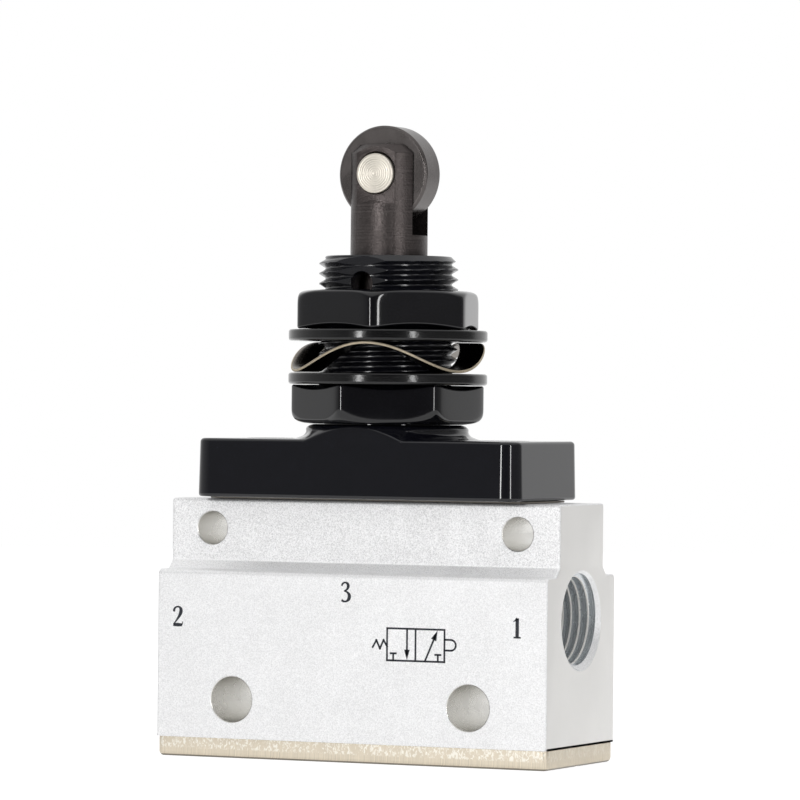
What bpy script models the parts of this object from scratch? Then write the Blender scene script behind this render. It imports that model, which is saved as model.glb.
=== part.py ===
"""A small three-way roller plunger valve for panel mounting, as separate named pieces.

Units are metres and +Z is up. The origin is the middle of the bottom plate's underside.
The ports face +X (supply) and -X (outlet), and the roller's pin lies along Y.
Every piece is drawn at rest: plunger up, supply shut, outlet open to exhaust.
"""
import math

import bmesh
import bpy
from mathutils import Matrix, Vector

MM = 0.001

# Clearances
SEAT_GAP = 0.05 * MM
RUNNING_GAP = 0.06 * MM
THREAD_GAP = 0.04 * MM
SCREW_GAP = 0.06 * MM
SEAL_GAP = 0.03 * MM
GROOVE_GAP = 0.05 * MM

# Aluminium body, an extruded section with a narrower top
BODY_LENGTH = 42.6 * MM
BODY_TOP_WALL = 1.05 * MM
LEDGE_WIDTH = 3.0 * MM
LEDGE_DROP = 7.05 * MM
LEDGE_ROUNDING = 0.7 * MM
LEDGE_FILLET = 1.0 * MM
BODY_EDGE = 0.3 * MM
LOWER_HOLE_RADIUS = 2.275 * MM
LOWER_HOLE_MARGIN = 8.36 * MM
LOWER_HOLE_HEIGHT = 3.87 * MM
UPPER_HOLE_RADIUS = 1.65 * MM
UPPER_HOLE_MARGIN = 4.55 * MM
UPPER_HOLE_DROP = 2.94 * MM

# Ports, with their threads at full diameter
PORT_RADIUS = 4.87 * MM
PORT_DEPTH = 8.5 * MM
PORT_CHAMFER = 0.12 * MM
PORT_FLOOR_WEB = 1.315 * MM
PORT_ROOF_WEB = 2.01 * MM
DRILL_POINT = 0.6
PASSAGE_RADIUS = 1.6 * MM
PASSAGE_WEB = 0.1 * MM

# Bores and seat inside the body
CHAMBER_GAP = 0.8 * MM
GLAND_SHOULDER = 0.6 * MM
GLAND_FLOOR_WEB = 0.67 * MM
SEAT_FLOW_GAP = 0.7 * MM
SEAT_WEB = 1.0 * MM
SEAT_LIP_WIDTH = 0.5 * MM
SEAT_LIP_HEIGHT = 0.4 * MM

# Bottom plate, gaskets and countersunk screws
PLATE_END_INSET = 0.05 * MM
PLATE_SIDE_INSET = 0.25 * MM
PLATE_THICKNESS = 1.55 * MM
PLATE_CORNER = 0.8 * MM
PLATE_EDGE = 0.25 * MM
GASKET_THICKNESS = 0.15 * MM
GASKET_INSET = 0.25 * MM
SCREW_RADIUS = 1.45 * MM
SCREW_HEAD_FLARE = 1.25 * MM
SCREW_HEAD_RIM = 0.2 * MM
SCREW_HEAD_SINK = 0.1 * MM
BOTTOM_SCREW_MARGIN = 3.0 * MM
BOTTOM_SCREW_BITE = 5.2 * MM
CAP_SCREW_MARGIN = 5.05 * MM
CAP_SCREW_BITE = 3.8 * MM

# Die-cast cap with its neck and threaded collar
CAP_END_INSET = 3.65 * MM
CAP_SIDE_INSET = 0.3 * MM
CAP_HEIGHT = 5.75 * MM
CAP_CORNER = 1.8 * MM
CAP_DRAFT = 0.13 * MM
CAP_TOP_EDGE = 0.5 * MM
CAP_BOTTOM_EDGE = 0.25 * MM
NECK_SHOULDER = 1.04 * MM
NECK_HEIGHT = 1.6 * MM
NECK_FILLET = 1.5 * MM
NECK_FILLET_SWEEP = 84.0
NECK_SET_BACK = 0.01 * MM
COLLAR_WALL = 2.06 * MM
COLLAR_LENGTH = 16.8 * MM
COLLAR_CHAMFER = 0.7 * MM
COLLAR_FLAT_DEPTH = 0.6 * MM
EXHAUST_RADIUS = 1.1 * MM
EXHAUST_ROOF = 0.35 * MM
EXHAUST_FLOOR = 1.05 * MM
EXHAUST_CHAMBER_GAP = 0.59 * MM
CAP_CHAMBER_STEP = 0.6 * MM

# Guide bush and wiper ring inside the collar
BUSH_WALL = 0.93 * MM
BUSH_LENGTH = 5.25 * MM
FLUTE_RADIUS = 0.55 * MM
FLUTE_DEPTH = 0.45 * MM
FLUTE_ANGLE = 24.0
WIPER_HEIGHT = 1.0 * MM

# Panel hardware round the collar
NUT_WALL = 1.5 * MM
NUT_HEIGHT = 3.88 * MM
NUT_ROUNDING = 1.65 * MM
NUT_BORE_CHAMFER = 0.35 * MM
LOWER_NUT_CORNER = -4.8
UPPER_NUT_CORNER = 16.1
WASHER_OVERHANG = 0.135 * MM
WASHER_THICKNESS = 1.14 * MM
WASHER_EDGE = 0.2 * MM
WASHER_BORE_GAP = 0.14 * MM
WAVE_HEIGHT = 3.09 * MM
WAVE_THICKNESS = 0.35 * MM
WAVE_INSET = 0.25 * MM
WAVE_COUNT = 3
WAVE_CREST = 11.8

# Plunger and roller
TRAVEL = 3.0 * MM
ROLLER_END_GAP = 0.35 * MM
STEM_CHAMFER = 0.85 * MM
FLANGE_GAP = 0.3 * MM
FLANGE_THICKNESS = 2.45 * MM
FLANGE_FLAT_STEP = 0.44 * MM
SKIRT_LENGTH = 4.0 * MM
SKIRT_WALL = 0.86 * MM
SPRING_BORE_DEPTH = 9.5 * MM
PIN_RADIUS = 2.0 * MM
PIN_STAND_OUT = 0.36 * MM
PIN_EDGE = 0.15 * MM
FORK_EYE_WALL = 0.94 * MM
FORK_SLOT = 3.65 * MM
FORK_SLOT_CLEARANCE = 1.25 * MM
FORK_EAR = 1.425 * MM
FORK_FLAT_MARGIN = 1.0 * MM
ROLLER_RADIUS = 4.85 * MM
ROLLER_SIDE_GAP = 0.15 * MM
ROLLER_EDGE = 0.3 * MM

# Push tube, gland and poppet
TUBE_BORE_RADIUS = 0.8 * MM
TUBE_WALL = 0.8 * MM
TUBE_SEAT_GAP = 0.55 * MM
TUBE_HEAD_THICKNESS = 1.5 * MM
TUBE_HEAD_DEPTH = 0.7 * MM
TUBE_PIN_RADIUS = 1.4 * MM
TUBE_PIN_HEIGHT = 1.8 * MM
TUBE_VENT_RADIUS = 0.5 * MM
TUBE_VENT_RISE = 2.8 * MM
GLAND_RIM = 0.825 * MM
GLAND_WEB = 0.84 * MM
STEM_SEAL_SECTION = 0.5 * MM
GLAND_SEAL_SECTION = 0.42 * MM
POPPET_HEIGHT = 2.0 * MM
POPPET_RIM = 0.4 * MM
POPPET_GUIDE_HEIGHT = 2.2 * MM
POPPET_DISC_ROOT = 0.55 * MM
POPPET_SEAL_OVERLAP = 0.2 * MM
POPPET_SEAL_THICKNESS = 0.9 * MM
POPPET_SEAL_PROUD = 0.37 * MM
POPPET_SPRING_RECESS = 1.6 * MM

# Springs
BUFFER_WIRE_RADIUS = 0.3 * MM
BUFFER_TURNS = 5
BUFFER_SPRING_GAP = 0.35 * MM
RETURN_WIRE_RADIUS = 0.25 * MM
RETURN_TURNS = 7
RETURN_SPRING_GAP = 0.5 * MM
RETURN_SPRING_RIM = 0.34 * MM
POPPET_WIRE_RADIUS = 0.3 * MM
POPPET_TURNS = 5
POPPET_SPRING_RIM = 1.24 * MM
CLOSED_TURN_RISE = 2.2

# Faces round a turned piece, along an arc and on an edge, and how a cutter runs past what it cuts
WIDE_ROUND_STEPS = 48
ROUND_STEPS = 32
SMALL_ROUND_STEPS = 24
SCREW_STEPS = 16
VENT_STEPS = 12
RING_STEPS = 8
COIL_STEPS = 9
WAVE_STEPS = 60
ARC_STEPS = 4
EDGE_STEPS = 2
CHAMFER_STEPS = 1
CUT_OVERRUN = 1.0 * MM
WELD_DISTANCE = 0.001 * MM

# Angles in degrees
QUARTER_TURN = 90.0
HALF_TURN = 180.0
FULL_TURN = 360.0
HEX_TURN = 60.0
SMOOTH_ANGLE = 35.0

# Radii and widths that follow from the inside out, first through the cap
TUBE_RADIUS = TUBE_BORE_RADIUS + TUBE_WALL
RETURN_SPRING_RADIUS = TUBE_RADIUS + RETURN_SPRING_GAP + RETURN_WIRE_RADIUS
TUBE_HEAD_RADIUS = RETURN_SPRING_RADIUS + RETURN_WIRE_RADIUS + RETURN_SPRING_RIM
SPRING_BORE_RADIUS = TUBE_HEAD_RADIUS + RUNNING_GAP
BUFFER_SPRING_RADIUS = SPRING_BORE_RADIUS - BUFFER_SPRING_GAP - BUFFER_WIRE_RADIUS
STEM_RADIUS = SPRING_BORE_RADIUS + SKIRT_WALL
BUSH_BORE_RADIUS = STEM_RADIUS + RUNNING_GAP
BUSH_RADIUS = BUSH_BORE_RADIUS + BUSH_WALL
COLLAR_BORE_RADIUS = BUSH_RADIUS + SEAT_GAP
CAP_CHAMBER_RADIUS = COLLAR_BORE_RADIUS + CAP_CHAMBER_STEP
EXHAUST_CHAMBER_RADIUS = STEM_RADIUS + EXHAUST_CHAMBER_GAP
COLLAR_RADIUS = COLLAR_BORE_RADIUS + COLLAR_WALL
COLLAR_FLAT_Y = COLLAR_RADIUS - COLLAR_FLAT_DEPTH
NECK_RADIUS = COLLAR_RADIUS + NECK_SHOULDER
NUT_BORE_RADIUS = COLLAR_RADIUS + THREAD_GAP
NUT_CORNER_RADIUS = (NUT_BORE_RADIUS + NUT_WALL) / math.cos(math.radians(HEX_TURN / 2))
WASHER_RADIUS = NUT_CORNER_RADIUS + WASHER_OVERHANG
WASHER_BORE_RADIUS = COLLAR_RADIUS + WASHER_BORE_GAP
FLANGE_RADIUS = CAP_CHAMBER_RADIUS - FLANGE_GAP
FLANGE_FLAT = STEM_RADIUS + FLANGE_FLAT_STEP
FORK_FLAT = FORK_SLOT / 2 + FORK_EAR
ROLLER_THICKNESS = FORK_SLOT - 2 * ROLLER_SIDE_GAP

# Then through the body
SEAT_RADIUS = TUBE_RADIUS + SEAT_FLOW_GAP
SEAT_LIP_RADIUS = SEAT_RADIUS + SEAT_LIP_WIDTH
POPPET_SEAL_RADIUS = SEAT_LIP_RADIUS + POPPET_SEAL_OVERLAP
POPPET_RADIUS = POPPET_SEAL_RADIUS + POPPET_RIM
LOWER_CHAMBER_RADIUS = POPPET_RADIUS + CHAMBER_GAP
POPPET_GUIDE_RADIUS = LOWER_CHAMBER_RADIUS - RUNNING_GAP
POPPET_RECESS_RADIUS = POPPET_GUIDE_RADIUS - POPPET_SPRING_RIM
POPPET_SPRING_RADIUS = POPPET_RECESS_RADIUS - SEAT_GAP - POPPET_WIRE_RADIUS
GLAND_INNER_FLOOR = TUBE_RADIUS + 2 * STEM_SEAL_SECTION + 2 * SEAL_GAP
GLAND_OUTER_FLOOR = GLAND_INNER_FLOOR + GLAND_WEB
GLAND_BORE_RADIUS = GLAND_OUTER_FLOOR + 2 * GLAND_SEAL_SECTION + 2 * SEAL_GAP
GLAND_RADIUS = GLAND_BORE_RADIUS - SEAT_GAP
GLAND_GROOVE_HEIGHT = 2 * STEM_SEAL_SECTION + 2 * GROOVE_GAP
GLAND_HEIGHT = GLAND_GROOVE_HEIGHT + 2 * GLAND_RIM
UPPER_CHAMBER_RADIUS = GLAND_BORE_RADIUS - GLAND_SHOULDER
BODY_TOP_DEPTH = 2 * (GLAND_BORE_RADIUS + BODY_TOP_WALL)
BODY_DEPTH = BODY_TOP_DEPTH + 2 * LEDGE_WIDTH
PORT_HEIGHT = LOWER_HOLE_HEIGHT + LOWER_HOLE_RADIUS + PORT_FLOOR_WEB + PORT_RADIUS
UPPER_HOLE_HEIGHT = PORT_HEIGHT + PORT_RADIUS + PORT_ROOF_WEB + UPPER_HOLE_RADIUS
BODY_HEIGHT = UPPER_HOLE_HEIGHT + UPPER_HOLE_DROP
LEDGE_HEIGHT = BODY_HEIGHT - LEDGE_DROP
PASSAGE_OFFSET = SEAT_WEB / 2 + PASSAGE_WEB + PASSAGE_RADIUS

# Plate, cap and screws that follow the body's outline
PLATE_LENGTH = BODY_LENGTH - 2 * PLATE_END_INSET
PLATE_DEPTH = BODY_DEPTH - 2 * PLATE_SIDE_INSET
CAP_LENGTH = BODY_LENGTH - 2 * CAP_END_INSET
CAP_DEPTH = BODY_DEPTH - 2 * CAP_SIDE_INSET
CAP_TOP_HALF_DEPTH = CAP_DEPTH / 2 - CAP_DRAFT
SCREW_HEAD_RADIUS = SCREW_RADIUS + SCREW_HEAD_FLARE
BOTTOM_SCREW_X = PLATE_LENGTH / 2 - BOTTOM_SCREW_MARGIN
CAP_SCREW_X = CAP_LENGTH / 2 - CAP_SCREW_MARGIN
JOINT_THICKNESS = GASKET_THICKNESS + 2 * SEAT_GAP
BOTTOM_SCREW_LENGTH = PLATE_THICKNESS + JOINT_THICKNESS + BOTTOM_SCREW_BITE
CAP_SCREW_LENGTH = CAP_HEIGHT + JOINT_THICKNESS + CAP_SCREW_BITE
LOWER_HOLE_X = BODY_LENGTH / 2 - LOWER_HOLE_MARGIN
UPPER_HOLE_X = BODY_LENGTH / 2 - UPPER_HOLE_MARGIN

# Heights that follow from the stack, from the bottom up
GASKET_Z = PLATE_THICKNESS + SEAT_GAP
BODY_Z = GASKET_Z + GASKET_THICKNESS + SEAT_GAP
BODY_TOP_Z = BODY_Z + BODY_HEIGHT
PORT_Z = BODY_Z + PORT_HEIGHT
CAP_GASKET_Z = BODY_TOP_Z + SEAT_GAP
CAP_Z = CAP_GASKET_Z + GASKET_THICKNESS + SEAT_GAP
CAP_TOP_Z = CAP_Z + CAP_HEIGHT
NECK_TOP_Z = CAP_TOP_Z + NECK_HEIGHT
COLLAR_TOP_Z = NECK_TOP_Z + COLLAR_LENGTH
LOWER_NUT_Z = NECK_TOP_Z + SEAT_GAP
LOWER_WASHER_Z = LOWER_NUT_Z + NUT_HEIGHT + SEAT_GAP
WAVE_Z = LOWER_WASHER_Z + WASHER_THICKNESS + SEAT_GAP
UPPER_WASHER_Z = WAVE_Z + WAVE_HEIGHT + SEAT_GAP
UPPER_NUT_Z = UPPER_WASHER_Z + WASHER_THICKNESS + SEAT_GAP
WIPER_Z = COLLAR_TOP_Z - WIPER_HEIGHT - 2 * SEAT_GAP
EXHAUST_Z = WIPER_Z - SEAT_GAP - EXHAUST_ROOF - EXHAUST_RADIUS
BUSH_TOP_Z = EXHAUST_Z - EXHAUST_RADIUS - EXHAUST_FLOOR
BUSH_Z = BUSH_TOP_Z - BUSH_LENGTH
PIN_Z = COLLAR_TOP_Z + ROLLER_END_GAP + TRAVEL + ROLLER_RADIUS
FORK_TOP_Z = PIN_Z + PIN_RADIUS + FORK_EYE_WALL
FORK_FLAT_Z = PIN_Z - PIN_RADIUS - FORK_FLAT_MARGIN
SLOT_Z = PIN_Z - ROLLER_RADIUS - FORK_SLOT_CLEARANCE
FLANGE_TOP_Z = BUSH_Z - SEAT_GAP
PLUNGER_Z = FLANGE_TOP_Z - FLANGE_THICKNESS - SKIRT_LENGTH
SPRING_BORE_TOP_Z = PLUNGER_Z + SPRING_BORE_DEPTH
SEAT_Z = PORT_Z - SEAT_WEB / 2
SEAT_LIP_Z = SEAT_Z - SEAT_LIP_HEIGHT
GLAND_BORE_Z = PORT_Z + PASSAGE_OFFSET + PASSAGE_RADIUS + GLAND_FLOOR_WEB
GLAND_Z = GLAND_BORE_Z + SEAT_GAP
GLAND_TOP_Z = GLAND_Z + GLAND_HEIGHT
GLAND_GROOVE_Z = GLAND_Z + GLAND_RIM
POPPET_SEAL_TOP_Z = SEAT_LIP_Z - SEAL_GAP
POPPET_TOP_Z = POPPET_SEAL_TOP_Z - POPPET_SEAL_PROUD
POPPET_GUIDE_TOP_Z = POPPET_TOP_Z - POPPET_HEIGHT
POPPET_Z = POPPET_GUIDE_TOP_Z - POPPET_GUIDE_HEIGHT
TUBE_Z = POPPET_SEAL_TOP_Z + TUBE_SEAT_GAP
TUBE_HEAD_Z = PLUNGER_Z + TUBE_HEAD_DEPTH
TUBE_HEAD_TOP_Z = TUBE_HEAD_Z + TUBE_HEAD_THICKNESS
TUBE_VENT_Z = GLAND_TOP_Z + TUBE_VENT_RISE

# Turns a piece's own Z axis onto another axis
ALONG_X = Matrix.Rotation(math.radians(QUARTER_TURN), 4, "Y")
AGAINST_X = Matrix.Rotation(math.radians(-QUARTER_TURN), 4, "Y")
ALONG_Y = Matrix.Rotation(math.radians(-QUARTER_TURN), 4, "X")
DOWNWARDS = Matrix.Rotation(math.radians(HALF_TURN), 4, "X")
# The body's section is drawn in XY, and its length runs along its own Z
SECTION_TO_BODY = Matrix(((0, 0, 1, 0), (1, 0, 0, 0), (0, 1, 0, 0), (0, 0, 0, 1)))


def clear_scene():
    """Remove whatever the file opened with."""
    for old in list(bpy.data.objects):
        bpy.data.objects.remove(old, do_unlink=True)


def make_collection(name):
    """A new collection in the scene."""
    made = bpy.data.collections.new(name)
    bpy.context.scene.collection.children.link(made)
    return made


def make_material(name, colour, roughness, metallic):
    """A plain Principled material."""
    made = bpy.data.materials.new(name)
    made.use_nodes = True
    shader = made.node_tree.nodes["Principled BSDF"]
    shader.inputs["Base Color"].default_value = (*colour, 1.0)
    shader.inputs["Roughness"].default_value = roughness
    shader.inputs["Metallic"].default_value = metallic
    return made


clear_scene()
PARTS = make_collection("roller_plunger_valve")
CUTTERS = make_collection("cutters")
ALUMINIUM = make_material("anodised_aluminium", (0.80, 0.80, 0.80), 0.42, 0.9)
BLACK_CASTING = make_material("black_die_casting", (0.02, 0.02, 0.024), 0.25, 0.3)
BLACK_WASHER = make_material("black_washer_steel", (0.03, 0.03, 0.033), 0.4, 0.6)
SPRING_STEEL = make_material("spring_steel", (0.42, 0.36, 0.27), 0.3, 1.0)
DARK_STEEL = make_material("black_oxide_steel", (0.13, 0.115, 0.11), 0.38, 0.9)
BRIGHT_STEEL = make_material("bright_steel", (0.76, 0.72, 0.64), 0.28, 1.0)
PLATE_STEEL = make_material("nickel_plated_steel", (0.62, 0.57, 0.48), 0.36, 1.0)
BRASS = make_material("brass", (0.72, 0.55, 0.25), 0.35, 1.0)
RUBBER = make_material("black_rubber", (0.02, 0.02, 0.02), 0.7, 0.0)
GASKET = make_material("gasket_sheet", (0.04, 0.04, 0.04), 0.8, 0.0)


def arc(centre, radius, start, end, steps=ARC_STEPS):
    """Points on an arc between two angles in degrees, ends included."""
    points = []
    for i in range(steps + 1):
        angle = math.radians(start + (end - start) * i / steps)
        points.append((centre[0] + radius * math.cos(angle), centre[1] + radius * math.sin(angle)))
    return points


def direction(angle):
    """The level direction at an angle in degrees from -Y towards +X."""
    return Vector((math.sin(math.radians(angle)), -math.cos(math.radians(angle)), 0.0))


def add_mesh_object(name, mesh, material, collection=PARTS):
    """An object that holds the mesh, in a collection."""
    obj = bpy.data.objects.new(name, mesh)
    if material:
        mesh.materials.append(material)
    collection.objects.link(obj)
    return obj


def as_cutter(obj):
    """Make an object a helper that neither renders nor becomes a piece."""
    for collection in list(obj.users_collection):
        collection.objects.unlink(obj)
    CUTTERS.objects.link(obj)
    obj.hide_render = True
    obj.display_type = "WIRE"
    return obj


def combine(target, tool, operation="DIFFERENCE"):
    """Cut, join or intersect a piece with another shape."""
    as_cutter(tool)
    modifier = target.modifiers.new(tool.name, "BOOLEAN")
    modifier.operation = operation
    modifier.solver = "EXACT"
    modifier.object = tool
    return target


def bake(obj):
    """Apply an object's modifiers, and its curve if it is one, as a welded mesh at the same place."""
    graph = bpy.context.evaluated_depsgraph_get()
    mesh = bpy.data.meshes.new_from_object(obj.evaluated_get(graph))
    form = bmesh.new()
    form.from_mesh(mesh)
    bmesh.ops.remove_doubles(form, verts=form.verts, dist=WELD_DISTANCE)
    form.to_mesh(mesh)
    form.free()
    name, place = obj.name, obj.matrix_world.copy()
    collection = obj.users_collection[0]
    bpy.data.objects.remove(obj)
    made = add_mesh_object(name, mesh, None, collection)
    made.matrix_world = place
    return made


def turned(name, profile, material=None, steps=ROUND_STEPS, place=None):
    """A shape turned round its own Z axis.

    The profile is a list of (radius, height) that runs down its outer side. It starts and ends on
    the axis, or else it closes on itself.
    """
    mesh = bpy.data.meshes.new(name)
    count = len(profile)
    closed = profile[0][0] > 0.0
    edges = [(i, (i + 1) % count) for i in range(count if closed else count - 1)]
    mesh.from_pydata([(r, 0.0, z) for r, z in profile], edges, [])
    obj = add_mesh_object(name, mesh, material)
    screw = obj.modifiers.new("turn", "SCREW")
    screw.steps = steps
    screw.render_steps = steps
    screw.use_merge_vertices = True
    screw.merge_threshold = 10 * WELD_DISTANCE
    screw.use_smooth_shade = True
    if place:
        obj.matrix_world = place
    return obj


def flat_piece(name, outline, thickness, edge=0.0, material=None, place=None):
    """A flat outline in XY given a thickness from its own Z = 0 upwards, with rims rounded by edge."""
    curve = bpy.data.curves.new(name, "CURVE")
    curve.dimensions = "2D"
    curve.fill_mode = "BOTH"
    curve.extrude = thickness / 2 - edge
    curve.bevel_depth = edge
    curve.bevel_resolution = CHAMFER_STEPS
    curve.offset = -edge
    spline = curve.splines.new("POLY")
    spline.points.add(len(outline) - 1)
    for point, (x, y) in zip(spline.points, outline):
        point.co = (x, y, 0.0, 1.0)
    spline.use_cyclic_u = True
    obj = bpy.data.objects.new(name, curve)
    PARTS.objects.link(obj)
    obj = bake(obj)
    obj.data.transform(Matrix.Translation((0.0, 0.0, thickness / 2)))
    if material:
        obj.data.materials.append(material)
    if place:
        obj.matrix_world = place
    return obj


def block(name, low, high):
    """A plain box between two corners."""
    mesh = bpy.data.meshes.new(name)
    form = bmesh.new()
    low, high = Vector(low), Vector(high)
    size = Matrix.Diagonal((*(high - low), 1.0))
    bmesh.ops.create_cube(form, size=1.0, matrix=Matrix.Translation((low + high) / 2) @ size)
    form.to_mesh(mesh)
    form.free()
    return add_mesh_object(name, mesh, None)


def rod(name, radius, length, place, steps=SMALL_ROUND_STEPS):
    """A plain cylinder centred on its place, along the place's Z axis."""
    mesh = bpy.data.meshes.new(name)
    form = bmesh.new()
    bmesh.ops.create_cone(
        form, cap_ends=True, segments=steps, radius1=radius, radius2=radius, depth=length
    )
    form.to_mesh(mesh)
    form.free()
    obj = add_mesh_object(name, mesh, None)
    obj.matrix_world = place
    return obj


def at(x=0.0, y=0.0, z=0.0, turn=None):
    """A place: a shift, after a turn if one is given."""
    shift = Matrix.Translation((x, y, z))
    return shift @ turn if turn else shift


def hexagon(corner_radius, corner=0.0):
    """The outline of a hexagon with one corner at an angle from -Y towards +X."""
    turns = [corner + HEX_TURN * i for i in range(6)]
    return [tuple((direction(turn) * corner_radius).xy) for turn in turns]


def rounded_rectangle(length, depth, radius):
    """The outline of a plate with round corners, centred on the origin."""
    points = []
    for quarter, (side_x, side_y) in enumerate(((1, 1), (-1, 1), (-1, -1), (1, -1))):
        centre = (side_x * (length / 2 - radius), side_y * (depth / 2 - radius))
        start = QUARTER_TURN * quarter
        points += arc(centre, radius, start, start + QUARTER_TURN)
    return points


def body_section():
    """The extruded body's outline as (depth, height): a wide foot, a ledge and a narrower top."""
    foot = BODY_DEPTH / 2
    top = BODY_TOP_DEPTH / 2
    right = arc((foot - BODY_EDGE, BODY_EDGE), BODY_EDGE, -90, 0, EDGE_STEPS)
    ledge = (foot - LEDGE_ROUNDING, LEDGE_HEIGHT - LEDGE_ROUNDING)
    right += arc(ledge, LEDGE_ROUNDING, 0, 90)
    right += arc((top + LEDGE_FILLET, LEDGE_HEIGHT + LEDGE_FILLET), LEDGE_FILLET, 270, 180)
    right += arc((top - BODY_EDGE, BODY_HEIGHT - BODY_EDGE), BODY_EDGE, 0, 90, EDGE_STEPS)
    left = [(-y, z) for y, z in reversed(right)]
    return right + left


def body_bore():
    """The stepped bore down the body: gland bore, outlet chamber, seat with its lip, supply chamber."""
    top = BODY_TOP_Z + CUT_OVERRUN
    bottom = BODY_Z - CUT_OVERRUN
    return turned("body_bore", [
        (0.0, top),
        (GLAND_BORE_RADIUS, top),
        (GLAND_BORE_RADIUS, GLAND_BORE_Z),
        (UPPER_CHAMBER_RADIUS, GLAND_BORE_Z),
        (UPPER_CHAMBER_RADIUS, SEAT_Z + SEAT_WEB),
        (SEAT_RADIUS, SEAT_Z + SEAT_WEB),
        (SEAT_RADIUS, SEAT_LIP_Z),
        (SEAT_LIP_RADIUS, SEAT_LIP_Z),
        (SEAT_LIP_RADIUS, SEAT_Z),
        (LOWER_CHAMBER_RADIUS, SEAT_Z),
        (LOWER_CHAMBER_RADIUS, bottom),
        (0.0, bottom),
    ])


def port_cut(name, turn, side):
    """A port bore with its mouth chamfer and drill point, from the body's end face inwards."""
    mouth = PORT_RADIUS + PORT_CHAMFER
    point = PORT_DEPTH + DRILL_POINT * PORT_RADIUS
    profile = [
        (0.0, CUT_OVERRUN),
        (mouth + CUT_OVERRUN, CUT_OVERRUN),
        (PORT_RADIUS, -PORT_CHAMFER),
        (PORT_RADIUS, -PORT_DEPTH),
        (0.0, -point),
    ]
    place = at(x=side * BODY_LENGTH / 2, z=PORT_Z, turn=turn)
    return turned(name, profile, steps=WIDE_ROUND_STEPS, place=place)


def passage_cut(name, side, height):
    """A drilled passage from a port's floor into the stepped bore."""
    start = BODY_LENGTH / 2 - PORT_DEPTH + CUT_OVERRUN
    end = LOWER_CHAMBER_RADIUS / 2
    middle = side * (start + end) / 2
    return rod(name, PASSAGE_RADIUS, start - end, at(x=middle, z=height, turn=ALONG_X))


def countersunk(length, grow=0.0, reach=0.0):
    """A countersunk screw's profile, head up with its top at zero, or its hole when it is grown."""
    head = SCREW_HEAD_RADIUS + grow
    shank = SCREW_RADIUS + grow
    rim = -SCREW_HEAD_RIM - grow
    neck = rim - (head - shank)
    return [
        (0.0, reach),
        (head, reach),
        (head, rim),
        (shank, neck),
        (shank, -length - grow),
        (0.0, -length - grow),
    ]


def screw_sites():
    """Each countersunk screw as (name, place, length)."""
    sites = []
    for number, side in enumerate((-1, 1), start=1):
        under = at(x=side * BOTTOM_SCREW_X, z=SCREW_HEAD_SINK, turn=DOWNWARDS)
        sites.append((f"bottom_screw_{number}", under, BOTTOM_SCREW_LENGTH))
        over = at(x=side * CAP_SCREW_X, z=CAP_TOP_Z - SCREW_HEAD_SINK)
        sites.append((f"cap_screw_{number}", over, CAP_SCREW_LENGTH))
    return sites


def cut_screw_holes(piece, prefix):
    """Cut the holes of the screws whose names start with the prefix."""
    for name, place, length in screw_sites():
        if name.startswith(prefix):
            profile = countersunk(length, SCREW_GAP, CUT_OVERRUN)
            hole = turned(f"{piece.name}_{name}_hole", profile, steps=SCREW_STEPS, place=place)
            combine(piece, hole)


def make_body_block():
    """The aluminium body with its ports, passages, mounting holes and stepped bore."""
    place = at(x=-BODY_LENGTH / 2, z=BODY_Z) @ SECTION_TO_BODY
    body = flat_piece("body_block", body_section(), BODY_LENGTH, BODY_EDGE, ALUMINIUM, place)
    combine(body, body_bore())
    combine(body, port_cut("supply_port", ALONG_X, 1))
    combine(body, port_cut("outlet_port", AGAINST_X, -1))
    combine(body, passage_cut("supply_passage", 1, PORT_Z - PASSAGE_OFFSET))
    combine(body, passage_cut("outlet_passage", -1, PORT_Z + PASSAGE_OFFSET))
    through = BODY_DEPTH + CUT_OVERRUN
    for side, word in ((-1, "left"), (1, "right")):
        lower = at(x=side * LOWER_HOLE_X, z=BODY_Z + LOWER_HOLE_HEIGHT, turn=ALONG_Y)
        upper = at(x=side * UPPER_HOLE_X, z=BODY_Z + UPPER_HOLE_HEIGHT, turn=ALONG_Y)
        combine(body, rod(f"lower_hole_{word}", LOWER_HOLE_RADIUS, through, lower))
        combine(body, rod(f"upper_hole_{word}", UPPER_HOLE_RADIUS, through, upper))
    cut_screw_holes(body, "bottom_screw")
    cut_screw_holes(body, "cap_screw")
    return body


def make_bottom_plate():
    """The steel plate that closes the body from below."""
    outline = rounded_rectangle(PLATE_LENGTH, PLATE_DEPTH, PLATE_CORNER)
    plate = flat_piece("bottom_plate", outline, PLATE_THICKNESS, PLATE_EDGE, PLATE_STEEL)
    cut_screw_holes(plate, "bottom_screw")
    return plate


def make_gasket(name, length, depth, z, bore_radius, screws):
    """A thin sheet gasket with a round opening and its screw holes."""
    outline = rounded_rectangle(length, depth, PLATE_CORNER)
    gasket = flat_piece(name, outline, GASKET_THICKNESS, 0.0, GASKET, at(z=z))
    combine(gasket, rod(f"{name}_bore", bore_radius, BODY_HEIGHT, at(z=z), ROUND_STEPS))
    cut_screw_holes(gasket, screws)
    return gasket


def make_gaskets():
    """The gasket under the body and the one under the cap."""
    inset = 2 * GASKET_INSET
    make_gasket("bottom_gasket", PLATE_LENGTH - inset, PLATE_DEPTH - inset, GASKET_Z,
                LOWER_CHAMBER_RADIUS + GASKET_INSET, "bottom_screw")
    make_gasket("cap_gasket", CAP_LENGTH - inset, BODY_TOP_DEPTH - inset, CAP_GASKET_Z,
                GLAND_BORE_RADIUS + GASKET_INSET, "cap_screw")


def make_screws():
    """Two countersunk screws in the bottom plate and two in the cap."""
    for name, place, length in screw_sites():
        turned(name, countersunk(length), PLATE_STEEL, SCREW_STEPS, place)


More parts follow.
